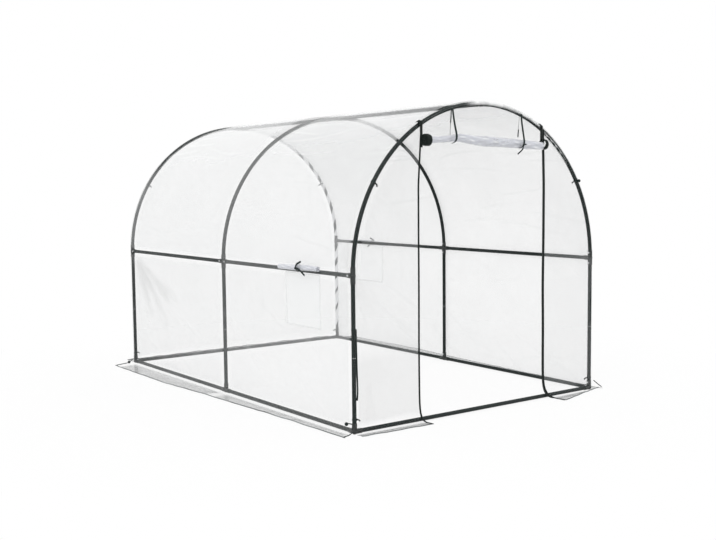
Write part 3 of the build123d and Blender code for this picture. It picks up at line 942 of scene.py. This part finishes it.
def make_ends():
    """The two front panels, the film above the rolled door and the rear film."""
    spans = {"left": (-EDGE_RADIUS, -DOOR_HALF), "right": (DOOR_HALF, EDGE_RADIUS)}
    nodes = {"left": ["front_left_panel"], "right": ["front_right_panel", "front_skirts"]}
    seeds = {"left": 21, "right": 22}
    grids = {}
    for side, span in spans.items():
        name = f"front_{side}_film"
        skirts = front_skirt(side)
        grids[side] = make_end_film(name, seeds[side], span, 0.0, -1, skirts, nodes[side])
    make_end_film("door_top_film", 31, (-DOOR_HALF, DOOR_HALF), ROLL_HEIGHT, -1, None, ["door_upper_film"])
    rear_span = (-EDGE_RADIUS, EDGE_RADIUS)
    rear_nodes = ["rear_panel", "rear_skirt"]
    grids["rear"] = make_end_film("rear_end_film", 41, rear_span, 0.0, 1, rear_skirt, rear_nodes)
    return grids


# Rolled door and windows

# The door's roll as the ties pull it: share of its half length, rise and thickness share
DOOR_ROLL_SHAPE = (
    (-1.0, 0.008, 0.60), (-0.72, 0.014, 0.62), (-0.52, 0.026, 0.66), (-0.42, 0.026, 0.74),
    (-0.2, 0.010, 0.98), (0.22, 0.004, 0.96), (0.55, -0.004, 0.88), (1.0, -0.014, 0.80),
)
DOOR_DROP = 1.55  # of the film that is rolled up
WINDOW_DROP = 0.34
ROLL_SHORT = 0.040  # of the door's roll at its right end
ROLL_GAP = 0.003  # from the plane of the end films
ROLL_CORE_SHARE = 0.2
ROLL_BULGE_SHARE = 1.08  # of the crumples past the roll's radius
COIL_SHARE = 1.06  # of the roll's room
# How deep the crumples are, and the turn at which each roll's outer edge lies
DOOR_CRUMPLE = (0.15, 0.3)
COIL_CRUMPLE = (0.02, math.pi / 2)
WINDOW_CRUMPLE = (0.08, 1.2)
WINDOW_ROLL_WAVES = {"rise": (0.004, 9), "swell": (0.08, 14)}  # height or share, and pace
WINDOW_ROLL_SHARE = 0.78  # of its room
WINDOW_ROLL_RISES = {"left": 0.005, "right": -0.018}
# The zip tapes wound up at the door roll's ends: outer place, width, rise, length wound up and core
COILS = {
    "left": {"place": 0.508, "width": 0.032, "rise": 0.0, "length": 1.3, "core_share": 0.15},
    "right": {"place": 0.487, "width": 0.020, "rise": 0.010, "length": 0.50, "core_share": 0.66},
}
DOOR_ACROSS = ((0, 1, 0), (0, 0, 1))


def crumple(draw, turn, along, waves):
    """Sharp ridges that wind around a roll, from about -1 to 1."""
    total = np.zeros(np.broadcast(turn, along).shape)
    for _ in range(waves):
        lobes = draw.randint(3, 7)
        pace = draw.choice((-1, 1)) * draw.uniform(5, 34)
        wave = np.sin(lobes * turn / 2 + pace * along + draw.uniform(0, 2 * math.pi))
        total += draw.uniform(0.4, 1.0) * (1 - 2 * np.abs(wave))
    return total / waves * 1.6


def roll_up(seed, line, radii, across, drop, depth, end_turn, core_share=ROLL_CORE_SHARE):
    """The points and fields of a sheet rolled up along a line: a spiral of its true length, crumpled."""
    draw = random.Random(seed)
    line = np.array(line, float)
    radii = np.array(radii, float)
    mean_radius = float(radii.mean()) * (1 + core_share) / 2
    turns = drop / (2 * math.pi * mean_radius)
    share = np.linspace(0, 1, max(24, round(turns * 26)))
    turn = end_turn - 2 * math.pi * turns * (1 - share)
    ridges = crumple(draw, turn[None, :], distances(line)[:, None], 6)
    reach = radii[:, None] * (core_share + (1 - core_share) * share[None, :]) * (1 + depth * ridges)
    first, second = (np.array(v, float) for v in across)
    points = (
        line[:, None, :]
        + (reach * np.cos(turn))[..., None] * first
        + (reach * np.sin(turn))[..., None] * second
    )
    # The crumples' ridges are whitened as a painted highlight, and their hollows darkened as painted shade
    return points, {"crease_highlight": ridges, "shade": -0.2 * ridges}


def make_door_roll():
    """The rolled-up door. Gives the heights of its two ends."""
    shares, rises, thicknesses = zip(*DOOR_ROLL_SHAPE)
    half = DOOR_HALF - DOOR_TAPE_WIDTH
    places = np.linspace(-half, half - ROLL_SHORT, 190)
    radii = ROLL_REACH * smooth_values(places / half, shares, thicknesses)
    heights = ROLL_HEIGHT + smooth_values(places / half, shares, rises)
    line = np.stack([places, -END_PLANE - ROLL_GAP - radii * ROLL_BULGE_SHARE, heights], axis=-1)
    rolled = roll_up(51, line, radii, DOOR_ACROSS, DOOR_DROP, *DOOR_CRUMPLE)
    piece = add_sheet("door_roll_sheet", *rolled, ROLLED_FILM, "rolled_film")
    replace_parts(piece, "door_roll")
    return {"left": heights[0], "right": heights[-1]}


def make_coil(side, height):
    """The zip tape wound up at one end of the door's roll."""
    sign = SIDES[side]
    wound = COILS[side]
    places = np.linspace(sign * wound["place"], sign * (wound["place"] - wound["width"]), 8)
    radius = ROLL_REACH * COIL_SHARE
    line = [(x, -END_PLANE - ROLL_GAP - radius, height + wound["rise"]) for x in places]
    radii = [radius] * len(line)
    length, core_share = wound["length"], wound["core_share"]
    rolled = roll_up(52 + sign, line, radii, DOOR_ACROSS, length, *COIL_CRUMPLE, core_share)
    coil = add_sheet(f"zip_tape_coil_{side}", *rolled, ZIP_TAPE, "zip_tape")
    coil.modifiers["thickness"].thickness = TAPE_THICKNESS * 2
    if side == "right":
        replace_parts(coil, "door_roll_tapes")


def make_window_roll(side):
    """One rolled-up window flap."""
    sign = SIDES[side]
    places = np.linspace(-WINDOW_ROLL_HALF, WINDOW_ROLL_HALF, 56)
    (rise, rise_pace), (swell, swell_pace) = WINDOW_ROLL_WAVES.values()
    heights = WINDOW_ROLL_Z + WINDOW_ROLL_RISES[side] + rise * np.sin(rise_pace * places)
    line = [(sign * WINDOW_ROLL_X, sign * (WINDOW_Y + place), z) for place, z in zip(places, heights)]
    radii = WINDOW_ROLL_REACH * WINDOW_ROLL_SHARE * (1 + swell * np.sin(swell_pace * places + 1))
    across = ((sign, 0, 0), (0, 0, 1))
    rolled = roll_up(61 + sign, line, radii, across, WINDOW_DROP, *WINDOW_CRUMPLE)
    piece = add_sheet(f"window_roll_sheet_{side}", *rolled, ROLLED_FILM, "rolled_film")
    if side == "right":
        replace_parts(piece, "window_rolls")


def make_rolls():
    """The rolled-up door with its wound zip tapes, and the two rolled-up window flaps."""
    end_heights = make_door_roll()
    for side in SIDES:
        make_coil(side, end_heights[side])
        make_window_roll(side)


# Zips

ACROSS = (1, 0, 0)
TAB_RADIUS = FILM_OFFSET + 0.004
TAB_WIDTH = 0.024
TAB_TURNS = (-30, 95)  # degrees about the hoop


def zip_line(points, side):
    """The line of a zip tape on the outside of a front panel's door edge."""
    sign = SIDES[side]
    edge = points[-1 if side == "left" else 0]
    lifted = edge + np.array((sign * ZIP_ASIDES[side], 0, 0))
    lifted[:, 0] -= sign * ZIP_LEANS[side] * ramp(edge[:, 2], *ZIP_LEAN_HEIGHTS)
    outward = np.cross(unit(np.gradient(edge, axis=0)), np.array(ACROSS, float))
    return lifted + outward * (FILM_THICKNESS + TAPE_THICKNESS / 2)


def place_teeth(teeth, line, aside):
    """A row of teeth along one edge of a tape."""
    line = np.array(line, float) + np.array((aside, 0, 0))
    total = distances(line)
    length, width, height = TOOTH

    def spot(place):
        return np.array([np.interp(place, total, line[:, i]) for i in range(3)])

    for place in np.arange(0, total[-1], TOOTH_PITCH):
        way = unit(spot(min(place + 0.004, total[-1])) - spot(max(place - 0.004, 0)))
        centre = spot(place) + unit(np.cross(way, ACROSS)) * TAPE_THICKNESS * 0.7
        teeth.strap([centre - way * length / 2, centre + way * length / 2], ACROSS, width, height)


def loop_points(centre, first, second, radius, start=0, end=360, count=24):
    """Points of an arc about a centre, in the plane of two directions, by degrees."""
    centre, first, second = (np.array(v, float) for v in (centre, first, second))
    turns = np.radians(np.linspace(start, end, count))
    return [centre + radius * (math.cos(t) * first + math.sin(t) * second) for t in turns]


def add_tape_tab(tapes, sign, door_x):
    """The top of one of the door's tapes, folded back over the front hoop."""
    turn = math.asin(abs(door_x) / HALF_WIDTH)
    out = np.array((sign * math.sin(turn), 0, math.cos(turn)))
    along = np.array((math.cos(turn), 0, -sign * math.sin(turn)))
    axis = HALF_WIDTH * out + np.array((0, -HALF_LENGTH, SPRING))
    fold = loop_points(axis, out, (0, -1, 0), TAB_RADIUS, *TAB_TURNS, 16)
    tapes.strap(fold, along, TAB_WIDTH, TAPE_THICKNESS * 2)


def make_zips(grids):
    """Each zip: the panel's tape, the door's tape above the roll with its tab, and the teeth along both."""
    tapes = Joined()
    teeth = Joined()
    door_end = ROLL_HEIGHT - ROLL_REACH
    door_y = -END_PLANE - FILM_THICKNESS - TAPE_THICKNESS / 2
    for side, sign in SIDES.items():
        width = TAPE_WIDTHS[side]
        panel = zip_line(grids[side], side)
        tapes.strap(panel, ACROSS, width, TAPE_THICKNESS)
        door_x = sign * (DOOR_HALF - DOOR_TAPE_INSETS[side] - DOOR_TAPE_WIDTH / 2)
        door_top = arch_top(door_x) + TUBE_RADIUS / 4
        door = [(door_x, door_y, z) for z in (door_top, (door_top + door_end) / 2, door_end)]
        tapes.strap(door, ACROSS, DOOR_TAPE_WIDTH, TAPE_THICKNESS)
        place_teeth(teeth, panel, -sign * width * 0.42)
        place_teeth(teeth, door, sign * DOOR_TAPE_WIDTH * 0.44)
        add_tape_tab(tapes, sign, door_x)
    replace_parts(tapes.finish("zip_tapes", ZIP_TAPE, "zip_tape"), "door_zips")
    teeth.finish("zip_teeth", CONNECTOR_PLASTIC, "zip_tape", smooth=False)


# Ties

# The door's straps in front, each from the hoop down and around the roll, and those behind the film
DOOR_TIES = (
    (
        (-0.270, -1.518, 1.847), (-0.266, -1.530, 1.765), (-0.284, -1.566, 1.706), (-0.297, -1.584, 1.674),
        (-0.303, -1.578, 1.652), (-0.306, -1.552, 1.642),
    ),
    (
        (0.300, -1.518, 1.834), (0.292, -1.532, 1.776), (0.270, -1.570, 1.690), (0.258, -1.586, 1.656),
        (0.252, -1.578, 1.630), (0.250, -1.552, 1.620),
    ),
)
DOOR_BACKS = (
    (0.008, ((-0.271, -1.508, 1.849), (-0.273, -1.507, 1.800), (-0.276, -1.507, 1.765))),
    (0.003, ((-0.276, -1.507, 1.765), (-0.279, -1.507, 1.730), (-0.281, -1.507, 1.690))),
    (0.002, ((0.298, -1.508, 1.836), (0.291, -1.507, 1.790), (0.287, -1.507, 1.738))),
    (0.009, ((0.287, -1.507, 1.738), (0.284, -1.507, 1.715), (0.283, -1.507, 1.692))),
)
DOOR_KNOT = (0.254, -1.585, 1.640)
DOOR_TAIL = (DOOR_KNOT, (0.238, -1.590, 1.612), (0.205, -1.582, 1.583))
DOOR_STUB = (DOOR_KNOT, (0.268, -1.589, 1.644), (0.282, -1.583, 1.641))
UP = (0, 0, 1)
DOWN = (0, 0, -1)


def add_knot(straps, centre, along, across):
    """A small flat knot: two turns of the strap crossing each other."""
    along = np.array(along, float)
    across = np.array(across, float)
    out = np.cross(along, across)
    for tilt in (0.45, -0.5):
        main = along * math.cos(tilt) + across * math.sin(tilt)
        loop = loop_points(centre, main, out, STRAP_WIDTH * 0.42, 0, 340, 16)
        straps.strap(loop, np.cross(main, out), STRAP_WIDTH * 0.75, KNOT_THICKNESS)


def make_door_ties():
    """The two straps that hold the rolled door, in front and behind the film, the right one knotted."""
    straps = Joined()
    for line in DOOR_TIES:
        straps.strap(smooth_line(line, 7), (1, 0, 0.05), DOOR_STRAP_WIDTH)
    for width, line in DOOR_BACKS:
        straps.strap(smooth_line(line, 7), ACROSS, width)
    add_knot(straps, DOOR_KNOT, DOWN, ACROSS)
    straps.strap(smooth_line(DOOR_TAIL, 8), (0.75, 0, -0.66), STRAP_WIDTH * 0.85)
    straps.strap(smooth_line(DOOR_STUB, 6), UP, STRAP_WIDTH * 0.7)
    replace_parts(straps.finish("door_straps", STRAP, "strap"), "door_ties")


WINDOW_TIE_RADIUS = WINDOW_ROLL_REACH * 0.88
# Tails of the windows' ties: reach and rise, and the shares of them at the middle
WINDOW_TAILS = ((0.066, 0.044, 0.35, 0.55), (0.104, -0.036, 0.5, 0.12))
WINDOW_TAIL_OUTS = (0.006, 0.002)  # at the middle and at the end
WINDOW_KNOT_DROP = 0.004


def make_window_ties():
    """A strap around each window roll, knotted outside, with two short tails."""
    straps = Joined()
    for side, sign in SIDES.items():
        centre = (sign * WINDOW_ROLL_X, sign * WINDOW_Y, WINDOW_ROLL_Z + WINDOW_ROLL_RISES[side])
        straps.strap(loop_points(centre, (sign, 0, 0), UP, WINDOW_TIE_RADIUS), (0, 1, 0), STRAP_WIDTH)
        x = centre[0] + sign * (WINDOW_TIE_RADIUS + KNOT_GAP)
        y = centre[1]
        z = centre[2] - WINDOW_KNOT_DROP
        middle_x, end_x = (x + sign * out for out in WINDOW_TAIL_OUTS)
        add_knot(straps, (x, y, z), DOWN, (0, 1, 0))
        for reach, rise, reach_share, rise_share in WINDOW_TAILS:
            tail = [
                (x, y, z),
                (middle_x, y + sign * reach * reach_share, z + rise * rise_share),
                (end_x, y + sign * reach, z + rise),
            ]
            straps.strap(smooth_line(tail, 8), (0, -rise, reach * sign), STRAP_WIDTH * 1.1)
    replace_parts(straps.finish("window_straps", STRAP, "strap"), "window_ties")


RIBBON_RADIUS = 0.963  # about the arch's centre
RIBBON_ENDS = (32.5, 48.0)  # degrees from the crown
RIBBON_TURNS = 2.35
RIBBON_GAP = 0.007  # from the film

# The strap along the front left leg: distance right of it, distance in front of its axis and height
HANGING = (
    (0.001, 0.004, 0.60), (0.001, 0.006, 0.545), (0.002, 0.008, 0.40), (0.006, 0.008, 0.250),
    (0.003, 0.007, 0.193),
)
HANGING_WIDTH = 0.010
HANGING_LOOP = (0.595, 0.006)  # height and width

# Cords from the feet of the legs to the outer corners of the skirts, and beads
CORNER_CORDS = (
    ((-1.012, -1.508, 0.022), (-1.045, -1.513, 0.010), (-1.086, -1.514, 0.005)),
    ((1.012, -1.508, 0.064), (1.062, -1.503, 0.032), (1.110, -1.494, 0.005)),
    ((-1.012, 1.500, 0.030), (-1.044, 1.494, 0.010), (-1.095, 1.480, 0.007), (-1.165, 1.462, 0.005)),
    ((1.012, 1.500, 0.030), (1.044, 1.494, 0.010), (1.095, 1.480, 0.007), (1.165, 1.462, 0.005)),
)
CORD_SECTION = (0.005, 0.004)
CORD_BEADS = (
    (-1.052, -1.500, 0.072), (-1.044, 1.494, 0.012), (1.044, 1.494, 0.012), (0.843, -1.512, 1.417),
)
BEAD = ((0.004, -0.010), (0.009, -0.007), (0.011, 0.0), (0.009, 0.007), (0.004, 0.010))
BEAD_STALK = (
    (-HALF_WIDTH - TUBE_RADIUS, -HALF_LENGTH, 0.060), (-1.030, -HALF_LENGTH, 0.069), CORD_BEADS[0],
)
BEAD_STALK_WIDTH = 0.006
COVER_TIE_RADIUS = TUBE_RADIUS + 0.0012
COVER_TAIL_SWEEPS = (0.014, 0.026)
COVER_TAIL_DROPS = (0.006, 0.016)
COVER_TAIL_OUTS = (0.008, 0.012)  # at the middle and at the end
FOOT_TIE_LIFT = 0.007
ARCH_TIE_TURN = 0.01  # below the highest point of the ties


def arc_ways(start, end, count):
    """Directions out from the centre of the arch, between two angles from the crown to the right."""
    angle = np.radians(np.linspace(start, end, count))
    return np.stack([np.sin(angle), 0 * angle, np.cos(angle)], axis=-1)


def add_ribbon(straps):
    """A loose twisted ribbon under the front hoop, right of the door."""
    out = arc_ways(*RIBBON_ENDS, 90)
    line = RIBBON_RADIUS * out + np.array((0, -END_PLANE - RIBBON_GAP, SPRING))
    twist = (2 * math.pi * RIBBON_TURNS * np.linspace(0, 1, len(out)))[:, None]
    across = np.cos(twist) * out + np.sin(twist) * np.array((0.0, 1.0, 0.0))
    straps.strap(line, across, STRAP_WIDTH)


def add_corner_cords(straps):
    """Cords at the skirts' corners, with their beads."""
    for line in CORNER_CORDS:
        straps.strap(smooth_line(line, 7), UP, *CORD_SECTION)
    for place in CORD_BEADS:
        straps.turned(place, UP, BEAD)
    straps.strap(smooth_line(BEAD_STALK, 6), UP, BEAD_STALK_WIDTH)


def add_hanging_strap(straps):
    """A strap that hangs along the front left leg, and the loop that holds it."""
    leg_x = -HALF_WIDTH + TUBE_RADIUS
    line = [(leg_x + right, -HALF_LENGTH - front, z) for right, front, z in HANGING]
    straps.strap(smooth_line(line, 8), (0.77, -0.63, 0), HANGING_WIDTH)
    height, width = HANGING_LOOP
    loop = loop_points((-HALF_WIDTH, -HALF_LENGTH, height), ACROSS, (0, 1, 0), COVER_TIE_RADIUS)
    straps.strap(loop, UP, width)


def add_cover_tie(straps, draw, centre, out, up, beside):
    """A strap around a tube, with a knot and two tails inside."""
    straps.strap(loop_points(centre, out, beside, COVER_TIE_RADIUS), up, STRAP_WIDTH)
    knot = centre - out * (COVER_TIE_RADIUS + KNOT_GAP)
    middle_out, end_out = (out * reach for reach in COVER_TAIL_OUTS)
    add_knot(straps, knot, up, beside)
    for way in (1, -1):
        sweep = draw.uniform(*COVER_TAIL_SWEEPS)
        drop = draw.uniform(*COVER_TAIL_DROPS)
        half_way = knot - middle_out + beside * way * sweep * 0.5 - up * drop * 0.2
        tail = [knot, half_way, knot - end_out + beside * way * sweep - up * drop]
        straps.strap(smooth_line(tail, 7), up, STRAP_WIDTH * 0.8)


def make_cover_ties():
    """Straps around the end hoops and the feet of the legs, and what else is tied to the cover."""
    straps = Joined()
    draw = random.Random(71)
    low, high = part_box("cover_ties")
    angle = math.asin((high.z - SPRING) / (HALF_WIDTH + TUBE_RADIUS)) - ARCH_TIE_TURN
    for end in (-1, 1):
        beside = np.array((0.0, -end, 0.0))
        for sign in SIDES.values():
            out = np.array((sign * math.cos(angle), 0, math.sin(angle)))
            up = np.array((-sign * math.sin(angle), 0, math.cos(angle)))
            arch = HALF_WIDTH * out + np.array((0, end * HALF_LENGTH, SPRING))
            foot = np.array((sign * HALF_WIDTH, end * HALF_LENGTH, low.z + FOOT_TIE_LIFT))
            add_cover_tie(straps, draw, arch, out, up, beside)
            add_cover_tie(straps, draw, foot, np.array((sign, 0.0, 0.0)), np.array(UP, float), beside)
    add_hanging_strap(straps)
    add_ribbon(straps)
    add_corner_cords(straps)
    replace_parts(straps.finish("cover_tie_straps", STRAP, "strap"), "cover_ties")


# Film wound around the rear hoop's right side: close under the crown, in loose turns further down

WRAP_RADIUS = TUBE_RADIUS + 0.0009
WRAP_PITCH = 0.155
WRAP_START = 5  # degrees from the crown
WRAP_RUNS = (0.52, 0.60, 1.60, 1.85)  # from there along the hoop
WRAP_COVERS = (0.96, 0.52, 0.52, 0.75)  # shares of a turn at those places
WRAP_FOOT = 0.12


def make_wrap():
    """The film wound around the rear hoop's right side, painted nearly white as a painted reflection."""
    out = arc_ways(WRAP_START, 90, 230)
    arch = HALF_WIDTH * out + np.array((0, HALF_LENGTH, SPRING))
    leg = [(HALF_WIDTH, HALF_LENGTH, height) for height in np.linspace(SPRING, WRAP_FOOT, 120)[1:]]
    line = np.concatenate([arch, leg])
    out = np.concatenate([out, np.tile(ACROSS, (len(leg), 1))])
    run = distances(line)
    cover = 2 * math.pi * np.interp(run, WRAP_RUNS, WRAP_COVERS)
    turn = 2 * math.pi * run / WRAP_PITCH + np.sin(7 * run)
    turn = (turn[:, None] + cover[:, None] * np.linspace(0, 1, 15))[..., None]
    beside = np.array((0.0, -1.0, 0.0))
    points = line[:, None] + WRAP_RADIUS * (np.cos(turn) * out[:, None] + np.sin(turn) * beside)
    # Painted nearly white: a painted reflection of the film over the hoop
    white = np.full(turn.shape, 0.9)
    piece = add_sheet("rear_hoop_wrap", points, {"crease_highlight": white}, ROLLED_FILM, "clear_film")


# Hems and screens


def make_hems(outer_lines, grids):
    """The binding along the skirts' edges and the welded borders of the window openings."""
    hems = Joined()
    lift = np.array((0, 0, HEM_HEIGHT / 2))
    for side, line in outer_lines.items():
        share = SIDE_HEM_SHARES[side]
        hems.strap(line + lift * share, ACROSS, HEM_WIDTH, HEM_HEIGHT * share)
    for grid in grids.values():
        hems.strap(grid[:, -1] + lift, (0, 1, 0), HEM_WIDTH, HEM_HEIGHT)
    hems.finish("skirt_hems", HEM_TAPE, "clear_film")

    borders = Joined()
    for sign in SIDES.values():
        x = sign * (FILM_RADIUS + BORDER_LIFT)
        for edge in (-1, 1):
            y = sign * WINDOW_Y + edge * (WINDOW_WIDTH + BORDER_WIDTH) / 2
            ends = [(x, y, WINDOW_BOTTOM - BORDER_WIDTH), (x, y, WINDOW_TOP + BORDER_WIDTH)]
            borders.strap(ends, (0, 1, 0), BORDER_WIDTH, BORDER_THICKNESS)
        for z in (WINDOW_BOTTOM - BORDER_WIDTH / 2, WINDOW_TOP + BORDER_WIDTH / 2):
            ends = [(x, sign * WINDOW_Y + edge * WINDOW_WIDTH / 2, z) for edge in (-1, 1)]
            borders.strap(ends, UP, BORDER_WIDTH, BORDER_THICKNESS)
    borders.finish("window_borders", HEM_FILM, "clear_film")


def make_screens():
    """The insect screens behind the window openings, thread by thread."""
    threads = Joined()
    half = WINDOW_WIDTH / 2 + THREAD_OVERLAP
    low, high = WINDOW_BOTTOM - THREAD_OVERLAP, WINDOW_TOP + THREAD_OVERLAP
    for sign in SIDES.values():
        x = sign * (FILM_RADIUS - THREAD_DEPTH)
        centre = sign * WINDOW_Y
        upright = [[(x, centre + y, z) for z in (low, high)] for y in np.arange(-half, half, THREAD_PITCH)]
        front = x + sign * THREAD
        sides = (centre - half, centre + half)
        level = [[(front, y, z) for y in sides] for z in np.arange(low, high, THREAD_PITCH)]
        for ends in upright + level:
            threads.strap(ends, ACROSS, THREAD, THREAD, THREAD_SECTION)
    piece = threads.finish("screen_threads", SCREEN_THREAD, "screen_mesh", smooth=False)
    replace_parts(piece, "window_screens")


# Fastenings

SCREW_HEAD = ((0.0058, 0.0), (0.0058, 0.0007), (0.0046, 0.0017), (0.0022, 0.0023), (0.0014, 0.0015))
SCREW_REACH = 0.034  # from a hub's centre to the screws in its sleeves
SCREW_AXIS_REACH = CONNECTOR_RADIUS - 0.0024  # of the screws' heads from the axis of their sleeve
LEG_JOINT_HEIGHT = 0.435
RING_RADIUS = TUBE_RADIUS + 0.0005
JOINT_RING = ((TUBE_RADIUS, 0.0), (RING_RADIUS, 0.0003), (RING_RADIUS, 0.0012), (TUBE_RADIUS, 0.0016))


def hoop_screws(hoop_y):
    """The places and directions of the screws in one hoop's connectors."""
    sleeve = SCREW_AXIS_REACH
    bays = [hoop_y + way * SCREW_REACH for way in bay_ways(hoop_y)]
    screws = []
    for sign in SIDES.values():
        for y in bays:
            screws.append(((sign * (HALF_WIDTH + sleeve), y, SPRING), (sign, 0, 0)))
            screws.append(((sign * HALF_WIDTH, y, BASE_AXIS + sleeve), UP))
        for z in (SPRING - SCREW_REACH, SPRING + SCREW_REACH, BASE_AXIS + SCREW_REACH):
            screws.append(((sign * (HALF_WIDTH - sleeve), hoop_y, z), (-sign, 0, 0)))
        if hoop_y:
            screws.append(((sign * (HALF_WIDTH - SCREW_REACH), hoop_y, BASE_AXIS + sleeve), UP))
        screws.append(((sign * SCREW_REACH, hoop_y, CROWN_AXIS - sleeve), DOWN))
    return screws + [((0, y, CROWN_AXIS - sleeve), DOWN) for y in bays]


def make_fastenings():
    """A screw in each sleeve of the connectors, and the bare rings where the legs' two tubes join."""
    screws = Joined()
    rings = Joined()
    for hoop_y in HOOP_PLACES:
        for place, way in hoop_screws(hoop_y):
            screws.turned(place, way, SCREW_HEAD)
        for sign in SIDES.values():
            rings.turned((sign * HALF_WIDTH, hoop_y, LEG_JOINT_HEIGHT), UP, JOINT_RING, 28)
    screws.finish("connector_screws", ZINC, "connector")
    rings.finish("leg_joint_rings", ZINC, "frame_tube")


# Stage, light and camera


def white_floor():
    """The floor's finish: white where it is seen, a little less so near the middle, to keep the shadow."""
    nodes = new_nodes("white_floor")
    tone = nodes.blend(nodes.noise(1.5), (0.91, 0.91, 0.91), (0.93, 0.93, 0.93))
    material = nodes.finish({"Base Color": tone, "Roughness": 0.9})
    far = nodes.add("VectorMath", "Value", {0: nodes.place()}, operation="LENGTH")
    white = nodes.work("MULTIPLY", nodes.seen(), nodes.remap(far, 1.4, 3.2, 0.87, 1.0))
    glow = nodes.add("Emission", "Emission", {"Color": WHITE, "Strength": 1.0})
    shaded = material.node_tree.nodes["Principled BSDF"].outputs["BSDF"]
    surface = nodes.add("MixShader", "Shader", {0: white, 1: shaded, 2: glow})
    nodes.put(material.node_tree.nodes["Material Output"], {"Surface": surface})
    return material


def make_stage():
    """A white floor that keeps a soft shadow, a white world and two soft lamps."""
    scene = bpy.context.scene
    scene.view_settings.view_transform = "Standard"
    scene.cycles.transparent_max_bounces = 48
    scene.world = bpy.data.worlds.new("white_studio")
    sky = Nodes(scene.world)
    strength = sky.remap(sky.seen(), 0, 1, 0.70, 1.0)
    sky.put(sky.tree.nodes["Background"], {"Color": WHITE, "Strength": strength})

    mesh = bpy.data.meshes.new("floor")
    corners = [(x * FLOOR_HALF, y * FLOOR_HALF, 0) for x, y in ((-1, -1), (1, -1), (1, 1), (-1, 1))]
    mesh.from_pydata(corners, [], [(0, 1, 2, 3)])
    mesh.materials.append(white_floor())
    floor = bpy.data.objects.new("floor", mesh)
    scene.collection.objects.link(floor)

    for name, (turn, strength, spread) in LAMPS.items():
        lamp = bpy.data.lights.new(name, "SUN")
        lamp.energy = strength
        lamp.angle = math.radians(spread)
        holder = bpy.data.objects.new(name, lamp)
        holder.rotation_euler = [math.radians(value) for value in turn]
        scene.collection.objects.link(holder)


def make_camera():
    """The camera at the photograph's place."""
    heading, elevation, roll = (math.radians(value) for value in CAMERA_TURN)
    level = Vector((math.cos(heading), math.sin(heading), 0))
    ahead = Vector((-math.sin(heading), math.cos(heading), 0))
    back = Vector((0, 0, math.sin(elevation))) - ahead * math.cos(elevation)
    right = math.cos(roll) * level + math.sin(roll) * back.cross(level)
    up = back.cross(right)
    data = bpy.data.cameras.new("camera")
    data.sensor_width = SENSOR_WIDTH
    data.lens = FOCAL_PIXELS / PICTURE[0] * SENSOR_WIDTH
    camera = bpy.data.objects.new("camera", data)
    camera.matrix_world = Matrix.Translation(CAMERA_PLACE) @ Matrix((right, up, back)).transposed().to_4x4()
    bpy.context.scene.collection.objects.link(camera)
    bpy.context.scene.camera = camera


def finish_nodes():
    """The finish of the frame's own tubes and connectors. The other nodes are replaced."""
    finishes = {("_leg", "_arch", "_rail"): TUBE_PAINT, ("_connectors",): CONNECTOR_PLASTIC}
    for name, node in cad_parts.items():
        for endings, material in finishes.items():
            if name.endswith(endings):
                node.data.materials.clear()
                node.data.materials.append(material)


make_stage()
make_camera()
finish_nodes()
skirt_edges = make_tunnel()
end_grids = make_ends()
make_rolls()
make_zips(end_grids)
make_door_ties()
make_window_ties()
make_cover_ties()
make_wrap()
make_hems(skirt_edges, end_grids)
make_screens()
make_fastenings()
